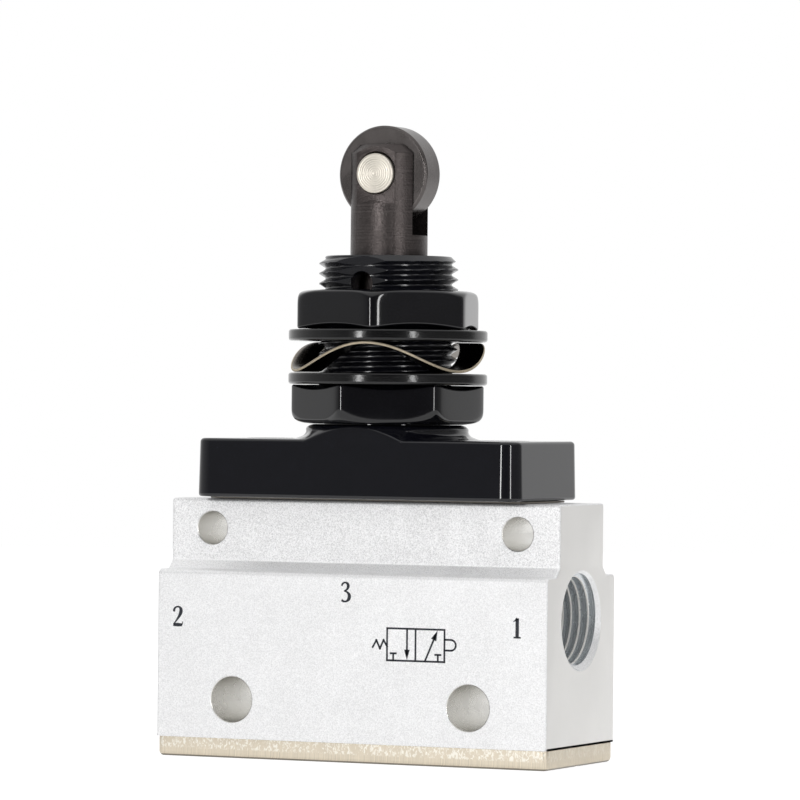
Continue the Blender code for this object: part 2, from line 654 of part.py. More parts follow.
def cap_block():
    """The cap's block: round upright corners, softened rims and a slight draft."""
    mesh = bpy.data.meshes.new("cap_collar")
    form = bmesh.new()
    size = Matrix.Diagonal((CAP_LENGTH, CAP_DEPTH, CAP_HEIGHT, 1.0))
    bmesh.ops.create_cube(form, size=1.0, matrix=at(z=CAP_Z + CAP_HEIGHT / 2) @ size)
    upright = [e for e in form.edges if abs(e.verts[0].co.z - e.verts[1].co.z) > CAP_HEIGHT / 2]
    bmesh.ops.bevel(
        form, geom=upright, offset=CAP_CORNER, segments=ARC_STEPS, profile=0.5, affect="EDGES"
    )
    rims = ((CAP_TOP_Z, CAP_TOP_EDGE, EDGE_STEPS), (CAP_Z, CAP_BOTTOM_EDGE, CHAMFER_STEPS))
    for level, width, steps in rims:
        rim = [e for e in form.edges if all(abs(v.co.z - level) < WELD_DISTANCE for v in e.verts)]
        bmesh.ops.bevel(form, geom=rim, offset=width, segments=steps, profile=0.5, affect="EDGES")
    for vertex in form.verts:
        rise = (vertex.co.z - CAP_Z) / CAP_HEIGHT
        vertex.co.x *= 1.0 - rise * 2 * CAP_DRAFT / CAP_LENGTH
        vertex.co.y *= 1.0 - rise * 2 * CAP_DRAFT / CAP_DEPTH
    form.to_mesh(mesh)
    form.free()
    return add_mesh_object("cap_collar", mesh, BLACK_CASTING)


def neck_and_collar():
    """The turned neck with its hollow foot fillet, and the collar at the thread's full diameter."""
    foot_radius = NECK_RADIUS + NECK_FILLET
    fillet = []
    for i in range(ARC_STEPS + 2):
        angle = math.radians(NECK_FILLET_SWEEP * i / (ARC_STEPS + 1))
        radius = foot_radius - NECK_FILLET * math.cos(angle)
        fillet.append((radius, CAP_TOP_Z + NECK_FILLET * (1.0 - math.sin(angle))))
    buried = CAP_TOP_Z - CAP_TOP_EDGE
    profile = [
        (0.0, COLLAR_TOP_Z),
        (COLLAR_RADIUS - COLLAR_CHAMFER, COLLAR_TOP_Z),
        (COLLAR_RADIUS, COLLAR_TOP_Z - COLLAR_CHAMFER),
        (COLLAR_RADIUS, NECK_TOP_Z),
        (NECK_RADIUS, NECK_TOP_Z),
        *fillet,
        (fillet[-1][0], buried),
        (0.0, buried),
    ]
    collar = turned("neck_and_collar", profile, steps=WIDE_ROUND_STEPS)
    reach = foot_radius + CUT_OVERRUN
    front = CAP_TOP_HALF_DEPTH - NECK_SET_BACK
    between = block("cap_width", (-reach, -front, 0.0), (reach, front, COLLAR_TOP_Z + CUT_OVERRUN))
    return combine(collar, between, "INTERSECT")


def collar_bore():
    """The bore through cap and collar: plunger chamber, bush bore, exhaust ring, wiper seat."""
    top = COLLAR_TOP_Z + CUT_OVERRUN
    bottom = CAP_Z - CUT_OVERRUN
    return turned("collar_bore", [
        (0.0, top),
        (COLLAR_BORE_RADIUS, top),
        (COLLAR_BORE_RADIUS, WIPER_Z - SEAT_GAP),
        (EXHAUST_CHAMBER_RADIUS, WIPER_Z - SEAT_GAP),
        (EXHAUST_CHAMBER_RADIUS, BUSH_TOP_Z + SEAT_GAP),
        (COLLAR_BORE_RADIUS, BUSH_TOP_Z + SEAT_GAP),
        (COLLAR_BORE_RADIUS, BUSH_Z),
        (CAP_CHAMBER_RADIUS, BUSH_Z),
        (CAP_CHAMBER_RADIUS, bottom),
        (0.0, bottom),
    ])


def make_cap_collar():
    """The black cap with its neck and collar, milled flats and exhaust holes."""
    cap = cap_block()
    combine(cap, neck_and_collar(), "UNION")
    combine(cap, collar_bore())
    for side, word in ((-1, "front"), (1, "rear")):
        near = side * COLLAR_FLAT_Y
        far = side * (COLLAR_RADIUS + CUT_OVERRUN)
        low = (-COLLAR_RADIUS, min(near, far), NECK_TOP_Z + SEAT_GAP)
        high = (COLLAR_RADIUS, max(near, far), COLLAR_TOP_Z + CUT_OVERRUN)
        combine(cap, block(f"collar_flat_{word}", low, high))
    across = 2 * (COLLAR_RADIUS + CUT_OVERRUN)
    combine(cap, rod("exhaust_hole", EXHAUST_RADIUS, across, at(z=EXHAUST_Z, turn=ALONG_Y)))
    cut_screw_holes(cap, "cap_screw")
    return cap


def make_guide_bush():
    """The brass bush that guides the plunger, with flutes that let the exhaust past."""
    bush = turned("guide_bush", [
        (BUSH_BORE_RADIUS, BUSH_TOP_Z),
        (BUSH_RADIUS, BUSH_TOP_Z),
        (BUSH_RADIUS, BUSH_Z),
        (BUSH_BORE_RADIUS, BUSH_Z),
    ], BRASS)
    centre = BUSH_RADIUS - FLUTE_DEPTH + FLUTE_RADIUS
    for facing in (0.0, HALF_TURN):
        for step in (-1, 0, 1):
            spot = direction(facing + step * FLUTE_ANGLE) * centre
            place = at(spot.x, spot.y, BUSH_Z + BUSH_LENGTH / 2)
            name = f"flute_{int(facing)}_{step + 1}"
            flute = rod(name, FLUTE_RADIUS, BUSH_LENGTH + CUT_OVERRUN, place, SCREW_STEPS)
            combine(bush, flute)
    return bush


def make_wiper_ring():
    """The rubber ring that wipes the stem at the collar's mouth, with a lip at its top."""
    lip = STEM_RADIUS + SEAL_GAP
    relief = (STEM_RADIUS + BUSH_RADIUS) / 2
    top = WIPER_Z + WIPER_HEIGHT
    return turned("wiper_ring", [
        (lip, top),
        (BUSH_RADIUS, top),
        (BUSH_RADIUS, WIPER_Z),
        (relief, WIPER_Z),
        (lip, WIPER_Z + WIPER_HEIGHT / 2),
    ], RUBBER)


def make_nut(name, z, corner, rounded_top):
    """A hexagon nut whose corners are rounded at one end, with a chamfered bore."""
    outline = hexagon(NUT_CORNER_RADIUS, corner)
    nut = flat_piece(name, outline, NUT_HEIGHT, 0.0, BLACK_CASTING, at(z=z))
    blank_radius = NUT_CORNER_RADIUS + SEAT_GAP
    face_radius = blank_radius - NUT_ROUNDING
    half = NUT_HEIGHT / 2
    rounding = arc((face_radius, half - NUT_ROUNDING), NUT_ROUNDING, 90, 0)
    over = half + CUT_OVERRUN
    profile = [(0.0, half), *rounding, (blank_radius, -over), (0.0, -over)]
    place = at(z=z + half, turn=None if rounded_top else DOWNWARDS)
    combine(nut, turned(f"{name}_blank", profile, steps=WIDE_ROUND_STEPS, place=place), "INTERSECT")
    flare = NUT_BORE_RADIUS + NUT_BORE_CHAMFER + CUT_OVERRUN
    bore = turned(f"{name}_bore", [
        (0.0, NUT_HEIGHT + CUT_OVERRUN),
        (flare, NUT_HEIGHT + CUT_OVERRUN),
        (NUT_BORE_RADIUS, NUT_HEIGHT - NUT_BORE_CHAMFER),
        (NUT_BORE_RADIUS, NUT_BORE_CHAMFER),
        (flare, -CUT_OVERRUN),
        (0.0, -CUT_OVERRUN),
    ], steps=WIDE_ROUND_STEPS, place=at(z=z))
    return combine(nut, bore)


def make_washer(name, z):
    """A flat washer with softened rims."""
    outer = WASHER_RADIUS - WASHER_EDGE
    upper = z + WASHER_THICKNESS - WASHER_EDGE
    lower = z + WASHER_EDGE
    return turned(name, [
        (WASHER_BORE_RADIUS, z + WASHER_THICKNESS),
        *arc((outer, upper), WASHER_EDGE, 90, 0, CHAMFER_STEPS),
        *arc((outer, lower), WASHER_EDGE, 0, -90, CHAMFER_STEPS),
        (WASHER_BORE_RADIUS, z),
    ], BLACK_WASHER, WIDE_ROUND_STEPS)


def make_wave_washer():
    """The spring washer: a flat ring pressed into waves that touch both washers in turn."""
    outer = WASHER_RADIUS - WAVE_INSET
    inner = WASHER_BORE_RADIUS + SEAT_GAP
    half = WAVE_THICKNESS / 2
    middle = WAVE_Z + WAVE_HEIGHT / 2
    ring = turned("wave_washer", [
        (inner, middle + half),
        (outer, middle + half),
        (outer, middle - half),
        (inner, middle - half),
    ], SPRING_STEEL, WAVE_STEPS)
    ring = bake(ring)
    rise = (WAVE_HEIGHT - WAVE_THICKNESS) / 2
    for vertex in ring.data.vertices:
        angle = math.atan2(vertex.co.x, -vertex.co.y) - math.radians(WAVE_CREST)
        vertex.co.z += rise * math.cos(WAVE_COUNT * angle)
    return ring


def make_panel_hardware():
    """The nuts, washers and wave washer that clamp a panel on the collar."""
    make_nut("lower_panel_nut", LOWER_NUT_Z, LOWER_NUT_CORNER, rounded_top=False)
    make_washer("lower_washer", LOWER_WASHER_Z)
    make_wave_washer()
    make_washer("upper_washer", UPPER_WASHER_Z)
    make_nut("upper_panel_nut", UPPER_NUT_Z, UPPER_NUT_CORNER, rounded_top=True)


def make_plunger():
    """The steel plunger: forked top for the roller, guided stem, stop flange and spring bore."""
    flange_z = FLANGE_TOP_Z - FLANGE_THICKNESS
    plunger = turned("plunger", [
        (0.0, FORK_TOP_Z),
        (STEM_RADIUS - STEM_CHAMFER, FORK_TOP_Z),
        (STEM_RADIUS, FORK_TOP_Z - STEM_CHAMFER),
        (STEM_RADIUS, FLANGE_TOP_Z),
        (FLANGE_RADIUS, FLANGE_TOP_Z),
        (FLANGE_RADIUS, flange_z),
        (STEM_RADIUS, flange_z),
        (STEM_RADIUS, PLUNGER_Z),
        (SPRING_BORE_RADIUS, PLUNGER_Z),
        (SPRING_BORE_RADIUS, SPRING_BORE_TOP_Z),
        (0.0, SPRING_BORE_TOP_Z + DRILL_POINT * SPRING_BORE_RADIUS),
    ], DARK_STEEL)
    reach = STEM_RADIUS + CUT_OVERRUN
    above = FORK_TOP_Z + CUT_OVERRUN
    half_slot = FORK_SLOT / 2
    combine(plunger, block("fork_slot", (-reach, -half_slot, SLOT_Z), (reach, half_slot, above)))
    for side, word in ((-1, "front"), (1, "rear")):
        near, far = side * FORK_FLAT, side * reach
        low = (-reach, min(near, far), FORK_FLAT_Z)
        combine(plunger, block(f"fork_flat_{word}", low, (reach, max(near, far), above)))
        near, far = side * FLANGE_FLAT, side * (FLANGE_RADIUS + CUT_OVERRUN)
        low = (-FLANGE_RADIUS, min(near, far), flange_z - SEAT_GAP)
        high = (FLANGE_RADIUS, max(near, far), FLANGE_TOP_Z + SEAT_GAP)
        combine(plunger, block(f"flange_flat_{word}", low, high))
    hole = rod("pin_hole", PIN_RADIUS + SEAL_GAP, 2 * reach, at(z=PIN_Z, turn=ALONG_Y))
    return combine(plunger, hole)


def make_roller():
    """The steel roller that the machine's cam runs over."""
    half = ROLLER_THICKNESS / 2
    bore = PIN_RADIUS + RUNNING_GAP
    return turned("roller", [
        (bore, half),
        (ROLLER_RADIUS - ROLLER_EDGE, half),
        (ROLLER_RADIUS, half - ROLLER_EDGE),
        (ROLLER_RADIUS, ROLLER_EDGE - half),
        (ROLLER_RADIUS - ROLLER_EDGE, -half),
        (bore, -half),
    ], DARK_STEEL, WIDE_ROUND_STEPS, at(z=PIN_Z, turn=ALONG_Y))


def make_roller_pin():
    """The pin through fork and roller, standing a little proud of the fork's flats."""
    half = FORK_FLAT + PIN_STAND_OUT
    return turned("roller_pin", [
        (0.0, half),
        (PIN_RADIUS - PIN_EDGE, half),
        (PIN_RADIUS, half - PIN_EDGE),
        (PIN_RADIUS, PIN_EDGE - half),
        (PIN_RADIUS - PIN_EDGE, -half),
        (0.0, -half),
    ], BRIGHT_STEEL, SMALL_ROUND_STEPS, at(z=PIN_Z, turn=ALONG_Y))


def make_push_tube():
    """The hollow push tube: it shuts on the poppet, and the exhaust leaves through its vents."""
    vent_top = TUBE_VENT_Z + 2 * TUBE_VENT_RADIUS
    tube = turned("push_tube", [
        (0.0, TUBE_HEAD_TOP_Z + TUBE_PIN_HEIGHT),
        (TUBE_PIN_RADIUS, TUBE_HEAD_TOP_Z + TUBE_PIN_HEIGHT),
        (TUBE_PIN_RADIUS, TUBE_HEAD_TOP_Z),
        (TUBE_HEAD_RADIUS, TUBE_HEAD_TOP_Z),
        (TUBE_HEAD_RADIUS, TUBE_HEAD_Z),
        (TUBE_RADIUS, TUBE_HEAD_Z),
        (TUBE_RADIUS, TUBE_Z),
        (TUBE_BORE_RADIUS, TUBE_Z),
        (TUBE_BORE_RADIUS, vent_top),
        (0.0, vent_top + DRILL_POINT * TUBE_BORE_RADIUS),
    ], BRASS, SMALL_ROUND_STEPS)
    across = 2 * TUBE_RADIUS + CUT_OVERRUN
    for turn, word in ((ALONG_X, "x"), (ALONG_Y, "y")):
        place = at(z=TUBE_VENT_Z, turn=turn)
        combine(tube, rod(f"vent_{word}", TUBE_VENT_RADIUS, across, place, VENT_STEPS))
    return tube


def make_gland():
    """The gland ring that holds the push tube's seal and its own outer seal."""
    bore = TUBE_RADIUS + RUNNING_GAP
    groove_top = GLAND_GROOVE_Z + GLAND_GROOVE_HEIGHT
    return turned("gland_ring", [
        (bore, GLAND_TOP_Z),
        (GLAND_RADIUS, GLAND_TOP_Z),
        (GLAND_RADIUS, groove_top),
        (GLAND_OUTER_FLOOR, groove_top),
        (GLAND_OUTER_FLOOR, GLAND_GROOVE_Z),
        (GLAND_RADIUS, GLAND_GROOVE_Z),
        (GLAND_RADIUS, GLAND_Z),
        (bore, GLAND_Z),
        (bore, GLAND_GROOVE_Z),
        (GLAND_INNER_FLOOR, GLAND_GROOVE_Z),
        (GLAND_INNER_FLOOR, groove_top),
        (bore, groove_top),
    ], BRASS, SMALL_ROUND_STEPS)


def make_seal_ring(name, middle_radius, section):
    """A round rubber ring at the height of the gland's grooves."""
    centre = (middle_radius, GLAND_GROOVE_Z + GLAND_GROOVE_HEIGHT / 2)
    last = QUARTER_TURN - FULL_TURN * (RING_STEPS - 1) / RING_STEPS
    profile = arc(centre, section, QUARTER_TURN, last, RING_STEPS - 1)
    return turned(name, profile, RUBBER, SMALL_ROUND_STEPS)


def make_seals():
    """The gland's inner and outer seal rings."""
    make_seal_ring("stem_seal", TUBE_RADIUS + SEAL_GAP + STEM_SEAL_SECTION, STEM_SEAL_SECTION)
    outer = GLAND_BORE_RADIUS - SEAL_GAP - GLAND_SEAL_SECTION
    make_seal_ring("gland_seal", outer, GLAND_SEAL_SECTION)


def make_poppet():
    """The poppet: a disc that holds the seat seal, over a six-cornered guide with a spring recess."""
    corners = hexagon(POPPET_GUIDE_RADIUS)
    poppet = flat_piece("poppet", corners, POPPET_GUIDE_HEIGHT, 0.0, BRASS, at(z=POPPET_Z))
    recess = POPPET_SEAL_THICKNESS - POPPET_SEAL_PROUD + SEAL_GAP
    floor = POPPET_TOP_Z - recess
    hold = POPPET_SEAL_RADIUS + SEAL_GAP
    disc = turned("poppet_disc", [
        (0.0, floor),
        (hold, floor),
        (hold, POPPET_TOP_Z),
        (POPPET_RADIUS, POPPET_TOP_Z),
        (POPPET_RADIUS, POPPET_GUIDE_TOP_Z - POPPET_DISC_ROOT),
        (0.0, POPPET_GUIDE_TOP_Z - POPPET_DISC_ROOT),
    ])
    combine(poppet, disc, "UNION")
    depth = 2 * POPPET_SPRING_RECESS
    combine(poppet, rod("spring_recess", POPPET_RECESS_RADIUS, depth, at(z=POPPET_Z)))
    top = POPPET_SEAL_TOP_Z
    turned("poppet_seal", [
        (0.0, top),
        (POPPET_SEAL_RADIUS, top),
        (POPPET_SEAL_RADIUS, top - POPPET_SEAL_THICKNESS),
        (0.0, top - POPPET_SEAL_THICKNESS),
    ], RUBBER, SMALL_ROUND_STEPS)
    return poppet


def make_spring(name, mean_radius, wire_radius, turns, low, high):
    """A compression spring between two heights, with a closed turn at each end."""
    start = low + SEAT_GAP + wire_radius
    end = high - SEAT_GAP - wire_radius
    closed = CLOSED_TURN_RISE * wire_radius
    open_pitch = (end - start - 2 * closed) / (turns - 2)
    curve = bpy.data.curves.new(name, "CURVE")
    curve.dimensions = "3D"
    curve.bevel_depth = wire_radius
    curve.bevel_resolution = CHAMFER_STEPS
    curve.use_fill_caps = True
    curve.materials.append(SPRING_STEEL)
    spline = curve.splines.new("POLY")
    count = turns * COIL_STEPS
    spline.points.add(count)
    for i, point in enumerate(spline.points):
        turn = i / COIL_STEPS
        first = min(turn, 1.0) * closed
        middle = min(max(turn - 1.0, 0.0), turns - 2.0) * open_pitch
        last = max(turn - (turns - 1.0), 0.0) * closed
        angle = 2 * math.pi * turn
        x, y = mean_radius * math.cos(angle), mean_radius * math.sin(angle)
        point.co = (x, y, start + first + middle + last, 1.0)
    obj = bpy.data.objects.new(name, curve)
    PARTS.objects.link(obj)
    return obj


def make_springs():
    """The buffer, return and poppet springs."""
    make_spring("buffer_spring", BUFFER_SPRING_RADIUS, BUFFER_WIRE_RADIUS, BUFFER_TURNS,
                TUBE_HEAD_TOP_Z, SPRING_BORE_TOP_Z)
    make_spring("return_spring", RETURN_SPRING_RADIUS, RETURN_WIRE_RADIUS, RETURN_TURNS,
                GLAND_TOP_Z, TUBE_HEAD_Z)
    make_spring("poppet_spring", POPPET_SPRING_RADIUS, POPPET_WIRE_RADIUS, POPPET_TURNS,
                PLATE_THICKNESS, POPPET_Z + POPPET_SPRING_RECESS)


def group_pieces():
    """Parent the pieces of each sub-assembly to an empty on the valve's axis."""
    groups = {
        "valve_body": ("body", "bottom", "cap", "guide", "wiper", "gland", "stem_seal", "return"),
        "panel_clamp": ("lower", "wave", "upper"),
        "actuator": ("plunger", "buffer", "roller"),
        "valve_stem": ("push", "poppet"),
    }
    for name, starts in groups.items():
        empty = bpy.data.objects.new(name, None)
        PARTS.objects.link(empty)
        for piece in list(PARTS.objects):
            if piece.type != "EMPTY" and piece.name.startswith(starts):
                piece.parent = empty


def shade_pieces():
    """Shade round faces smooth and keep real edges sharp."""
    for piece in PARTS.objects:
        if piece.type == "MESH" and piece.data.polygons:
            piece.data.shade_smooth()
            piece.data.set_sharp_from_angle(angle=math.radians(SMOOTH_ANGLE))


def main():
    """Build every piece of the valve."""
    make_body_block()
    make_bottom_plate()
    make_gaskets()
    make_screws()
    make_cap_collar()
    make_guide_bush()
    make_wiper_ring()
    make_panel_hardware()
    make_plunger()
    make_roller()
    make_roller_pin()
    make_push_tube()
    make_gland()
    make_seals()
    make_poppet()
    make_springs()
    group_pieces()
    shade_pieces()


main()
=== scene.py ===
"""A roller plunger valve for panel mounting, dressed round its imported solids.

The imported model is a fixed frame: the origin is the middle of the bottom plate's underside, +Z is
up, the supply port faces +X and the printed front faces -Y. The photograph is taken from 25
degrees to the right of the front.
Sizes here are millimetres in that frame, and become metres when a mesh is made.
"""
import logging
import math
from dataclasses import dataclass
from enum import Enum

import bmesh
import bpy
import numpy as np
from mathutils import Matrix, Vector


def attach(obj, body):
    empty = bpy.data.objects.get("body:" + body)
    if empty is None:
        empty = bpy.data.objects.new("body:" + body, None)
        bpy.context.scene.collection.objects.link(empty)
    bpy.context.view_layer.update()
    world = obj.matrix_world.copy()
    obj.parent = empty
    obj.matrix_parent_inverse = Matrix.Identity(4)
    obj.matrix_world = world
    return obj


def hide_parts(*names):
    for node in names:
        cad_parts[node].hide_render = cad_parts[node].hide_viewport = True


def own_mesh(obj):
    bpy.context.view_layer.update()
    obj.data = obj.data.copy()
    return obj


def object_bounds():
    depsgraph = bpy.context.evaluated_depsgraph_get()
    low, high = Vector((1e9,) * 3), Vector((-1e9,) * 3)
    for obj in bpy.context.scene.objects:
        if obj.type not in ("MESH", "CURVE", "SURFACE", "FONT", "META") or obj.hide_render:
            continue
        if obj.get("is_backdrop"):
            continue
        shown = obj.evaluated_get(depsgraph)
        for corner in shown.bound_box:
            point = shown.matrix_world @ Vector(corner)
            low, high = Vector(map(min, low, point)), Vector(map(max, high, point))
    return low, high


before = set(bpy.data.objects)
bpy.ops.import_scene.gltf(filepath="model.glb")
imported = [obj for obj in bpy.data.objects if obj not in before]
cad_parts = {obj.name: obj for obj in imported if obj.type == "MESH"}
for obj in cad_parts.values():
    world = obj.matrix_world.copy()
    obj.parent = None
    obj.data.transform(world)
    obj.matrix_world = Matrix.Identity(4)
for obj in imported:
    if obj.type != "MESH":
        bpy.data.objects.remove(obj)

LOG = logging.getLogger("roller_plunger_valve")
MM = 0.001
TAU = 2.0 * math.pi
CAD_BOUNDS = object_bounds()

Grid = np.ndarray
Pair = tuple[float, float]
Triple = tuple[float, float, float]
Sockets = dict[str, tuple[str, object]]

# How finely surfaces are drawn
ROUND_STEPS = 96
EASE_STEPS = 6
SUPPORT = 0.04
WELD = 0.0004
SHARP_ANGLE = 32.0
OVERRUN = 1.0


# ---------------------------------------------------------------------------------------------
# Curves and grids, all as whole arrays in millimetres
# ---------------------------------------------------------------------------------------------

def unit(rows: Grid) -> Grid:
    """Directions of length 1."""
    return rows / np.linalg.norm(rows, axis=-1, keepdims=True)


def arc(centre: Pair, radius: float, start: float, end: float,
        steps: int = EASE_STEPS) -> tuple[Grid, Grid]:
    """Points of an arc, centre plus radius times the unit direction, and those directions.

    A hollow arc, drawn clockwise, gets its directions turned round, so that they point out of the
    material on either kind.

    Args:
        centre: The arc's centre.
        radius: Its radius.
        start: Its first angle in degrees.
        end: Its last angle in degrees.
        steps: How many chords it has.

    Returns:
        The points and the outward directions, each with one row a point.
    """
    angles = np.radians(np.linspace(start, end, steps + 1))
    ways = np.stack([np.cos(angles), np.sin(angles)], axis=1)
    points = np.asarray(centre) + radius * ways
    return points, ways if end >= start else -ways


@dataclass(frozen=True)
class Outline:
    """A closed flat outline with the direction out of the material at each of its points."""

    points: Grid
    ways: Grid

    @classmethod
    def of_arcs(cls, arcs: list[tuple[Grid, Grid]]) -> "Outline":
        """Join arcs by straight sides.

        Each end gets one more point a short way along its straight side, so that the smooth
        shading of an arc stays out of the flat beside it.

        Args:
            arcs: Points and outward directions of each arc, in order.

        Returns:
            The outline.
        """
        points, ways = [], []
        for run, out in arcs:
            first = np.array([out[0, 1], -out[0, 0]]) * SUPPORT
            last = np.array([-out[-1, 1], out[-1, 0]]) * SUPPORT
            points += [run[:1] + first, run, run[-1:] + last]
            ways += [out[:1], out, out[-1:]]
        return cls(np.concatenate(points), np.concatenate(ways))

    @classmethod
    def plate(cls, length: float, depth: float, corner: float, steps: int = 10) -> "Outline":
        """A rectangle with round corners, centred on the origin.

        Args:
            length: Its size along X.
            depth: Its size along Y.
            corner: The radius of its corners.
            steps: How many chords each corner has.

        Returns:
            The outline.
        """
        arcs = []
        for quarter, (side_x, side_y) in enumerate(((1, 1), (-1, 1), (-1, -1), (1, -1))):
            centre = (side_x * (length / 2 - corner), side_y * (depth / 2 - corner))
            arcs.append(arc(centre, corner, 90.0 * quarter, 90.0 * quarter + 90.0, steps))
        return cls.of_arcs(arcs)

    def loft(self, rows: Grid) -> Grid:
        """A grid that carries the outline up a profile: each point moves inwards by the inset.

        Args:
            rows: One (inset, height) a row.

        Returns:
            The grid, one row of points for each row of the profile.
        """
        flat = self.points[None] - rows[:, :1, None] * self.ways[None]
        height = np.broadcast_to(rows[:, 1, None, None], (*flat.shape[:2], 1))
        return np.concatenate([flat, height], axis=2)


def eased(corners: list[Triple], closed: bool = False,
          steps: int = EASE_STEPS) -> Grid:
    """A profile whose corners are rounded.

    Each corner gives way to the arc that touches both its sides at the given distance from it:
    the arc's points are the weighted sum of its two end directions, with sines as weights.

    Args:
        corners: (radius, height, distance) of each corner. A distance of 0 keeps it sharp.
        closed: Whether the last corner joins the first.
        steps: How many chords each arc has.

    Returns:
        The profile as (radius, height) rows.
    """
    spots = np.array([corner[:2] for corner in corners], float)
    count = len(corners)
    path = []
    for i, (_, _, reach) in enumerate(corners):
        spot = spots[i]
        if reach <= 0.0 or (not closed and i in (0, count - 1)):
            path.append(spot[None])
            continue
        back, on = unit(spots[i - 1] - spot), unit(spots[(i + 1) % count] - spot)
        half = math.acos(float(np.clip(back @ on, -1.0, 1.0))) / 2
        centre = spot + unit(back + on) * reach / math.cos(half)
        sweep = math.pi - 2 * half
        share = np.linspace(0.0, 1.0, steps + 1)[:, None]
        start, end = spot + back * reach - centre, spot + on * reach - centre
        turn = (np.sin((1 - share) * sweep) * start + np.sin(share * sweep) * end) / math.sin(sweep)
        support = min(SUPPORT, reach / 2)
        path += [(spot + back * (reach + support))[None], centre + turn,
                 (spot + on * (reach + support))[None]]
    return np.concatenate(path)


def rims(low: Pair, high: Pair, steps: tuple[int, int]) -> tuple[Grid, Grid]:
    """The quarter rounds of a slab's rims: the radius times one less the sine or cosine.

    Args:
        low: The height of the slab's underside and the radius of the rim there.
        high: The height of its top and the radius of the rim there.
        steps: How many points each round has.

    Returns:
        The lower and the upper round, as (inset, height) rows.
    """
    first, last = (np.radians(np.linspace(0.0, 90.0, count)) for count in steps)
    under = np.column_stack([low[1] * (1 - np.sin(first)), low[0] + low[1] * (1 - np.cos(first))])
    over = np.column_stack([high[1] * (1 - np.cos(last)), high[0] - high[1] * (1 - np.sin(last))])
    return under, over


def revolve(profile: Grid, steps: int = ROUND_STEPS) -> Grid:
    """A grid turned round Z: radius times cosine, radius times sine, height.

    Args:
        profile: (radius, height) rows.
        steps: How many columns the full turn has.

    Returns:
        The grid. Its columns wrap round.
    """
    angles = np.linspace(0.0, TAU, steps, endpoint=False)
    radius, height = profile[:, :1], profile[:, 1:]
    return np.stack([radius * np.cos(angles), radius * np.sin(angles),
                     np.broadcast_to(height, (len(profile), steps))], axis=2)


def helical(start: float, pitch: float, section: Grid, low: float, high: float) -> Grid:
    """A right-hand threaded surface whose rows run along its helix.

    Each point of the section has its own row in each turn of the thread. The row's height is the
    start plus the pitch times the sum of the number of the turn, the point's share of the pitch
    and the share of a full turn, so the last column meets the first one a turn further on. Points
    past either end gather in the middle of that end.

    Args:
        start: The height at which share 0 begins.
        pitch: The thread's pitch.
        section: (share of the pitch, radius) rows over one pitch.
        low: Where the thread's lower end is.
        high: Where its upper end is.

    Returns:
        The grid. Its columns don't wrap: they weld.
    """
    first, last = (low - start) / pitch - 2, (high - start) / pitch + 2
    numbers = np.arange(math.floor(first), math.ceil(last))
    along = (numbers[:, None] + section[:, 0]).reshape(-1, 1)
    turn = np.linspace(0.0, 1.0, ROUND_STEPS + 1)[None]
    level = start + pitch * (along + turn)
    radius = np.tile(section[:, 1], len(numbers))[:, None]
    radius = np.where((level > low) & (level < high), radius, 0.0)
    return np.stack([radius * np.cos(TAU * turn), radius * np.sin(TAU * turn),
                     np.clip(level, low, high)], axis=2)


def soft_min(first: Grid, second: Grid, ease: float) -> Grid:
    """The smaller of two fields, rounded over where they meet.

    It is half of the sum less half of the root of the squared difference plus the squared ease.

    Args:
        first: One field.
        second: The other field.
        ease: How far the rounding reaches.

    Returns:
        The field.
    """
    return (first + second - np.sqrt((first - second) ** 2 + ease ** 2)) / 2


def thread_wave(turns: Grid, crest: float, root: float) -> Grid:
    """A thread's section over one pitch, 1 on the crest and 0 in the root, with straight flanks.

    Args:
        turns: The distance along the thread in pitches, with a crest at each whole number.
        crest: The share of the pitch that the flat crest takes up.
        root: The share of the pitch that the flat root takes up.

    Returns:
        The height of the section, from 0 to 1.
    """
    away = 2.0 * np.abs(turns - np.round(turns))
    return np.clip((1.0 - root - away) / (1.0 - root - crest), 0.0, 1.0)


def smooth_path(knots: Grid, count: int) -> Grid:
    """A smooth open curve through knots, worked out as cubic pieces with shared slopes.

    Between two knots it is the cubic that has both knots and half of the step across each knot.

    Args:
        knots: Points, one a row, of any number of values.
        count: How many points the curve gets.

    Returns:
        The curve's points.
    """
    knots = np.asarray(knots, float)
    slopes = np.gradient(knots, axis=0)
    along = np.linspace(0.0, len(knots) - 1.0, count)
    i = np.minimum(along.astype(int), len(knots) - 2)
    t = (along - i)[:, None]
    return ((2 * t ** 3 - 3 * t ** 2 + 1) * knots[i] + (t ** 3 - 2 * t ** 2 + t) * slopes[i]
            + (3 * t ** 2 - 2 * t ** 3) * knots[i + 1] + (t ** 3 - t ** 2) * slopes[i + 1])


# Turns of a piece: its own Z axis goes along X, against X, along Y or downwards, and a section's
# own X, Y and Z axes go along Y, Z and X
UPRIGHT = np.eye(3)
ALONG_X = np.array([[0.0, 0.0, 1.0], [0.0, 1.0, 0.0], [-1.0, 0.0, 0.0]])
AGAINST_X = np.array([[0.0, 0.0, -1.0], [0.0, 1.0, 0.0], [1.0, 0.0, 0.0]])
ALONG_Y = np.array([[1.0, 0.0, 0.0], [0.0, 0.0, 1.0], [0.0, -1.0, 0.0]])
DOWNWARDS = np.array([[1.0, 0.0, 0.0], [0.0, -1.0, 0.0], [0.0, 0.0, -1.0]])
SECTION = np.array([[0.0, 0.0, 1.0], [1.0, 0.0, 0.0], [0.0, 1.0, 0.0]])
IN_PLACE = (0.0, 0.0, 0.0)


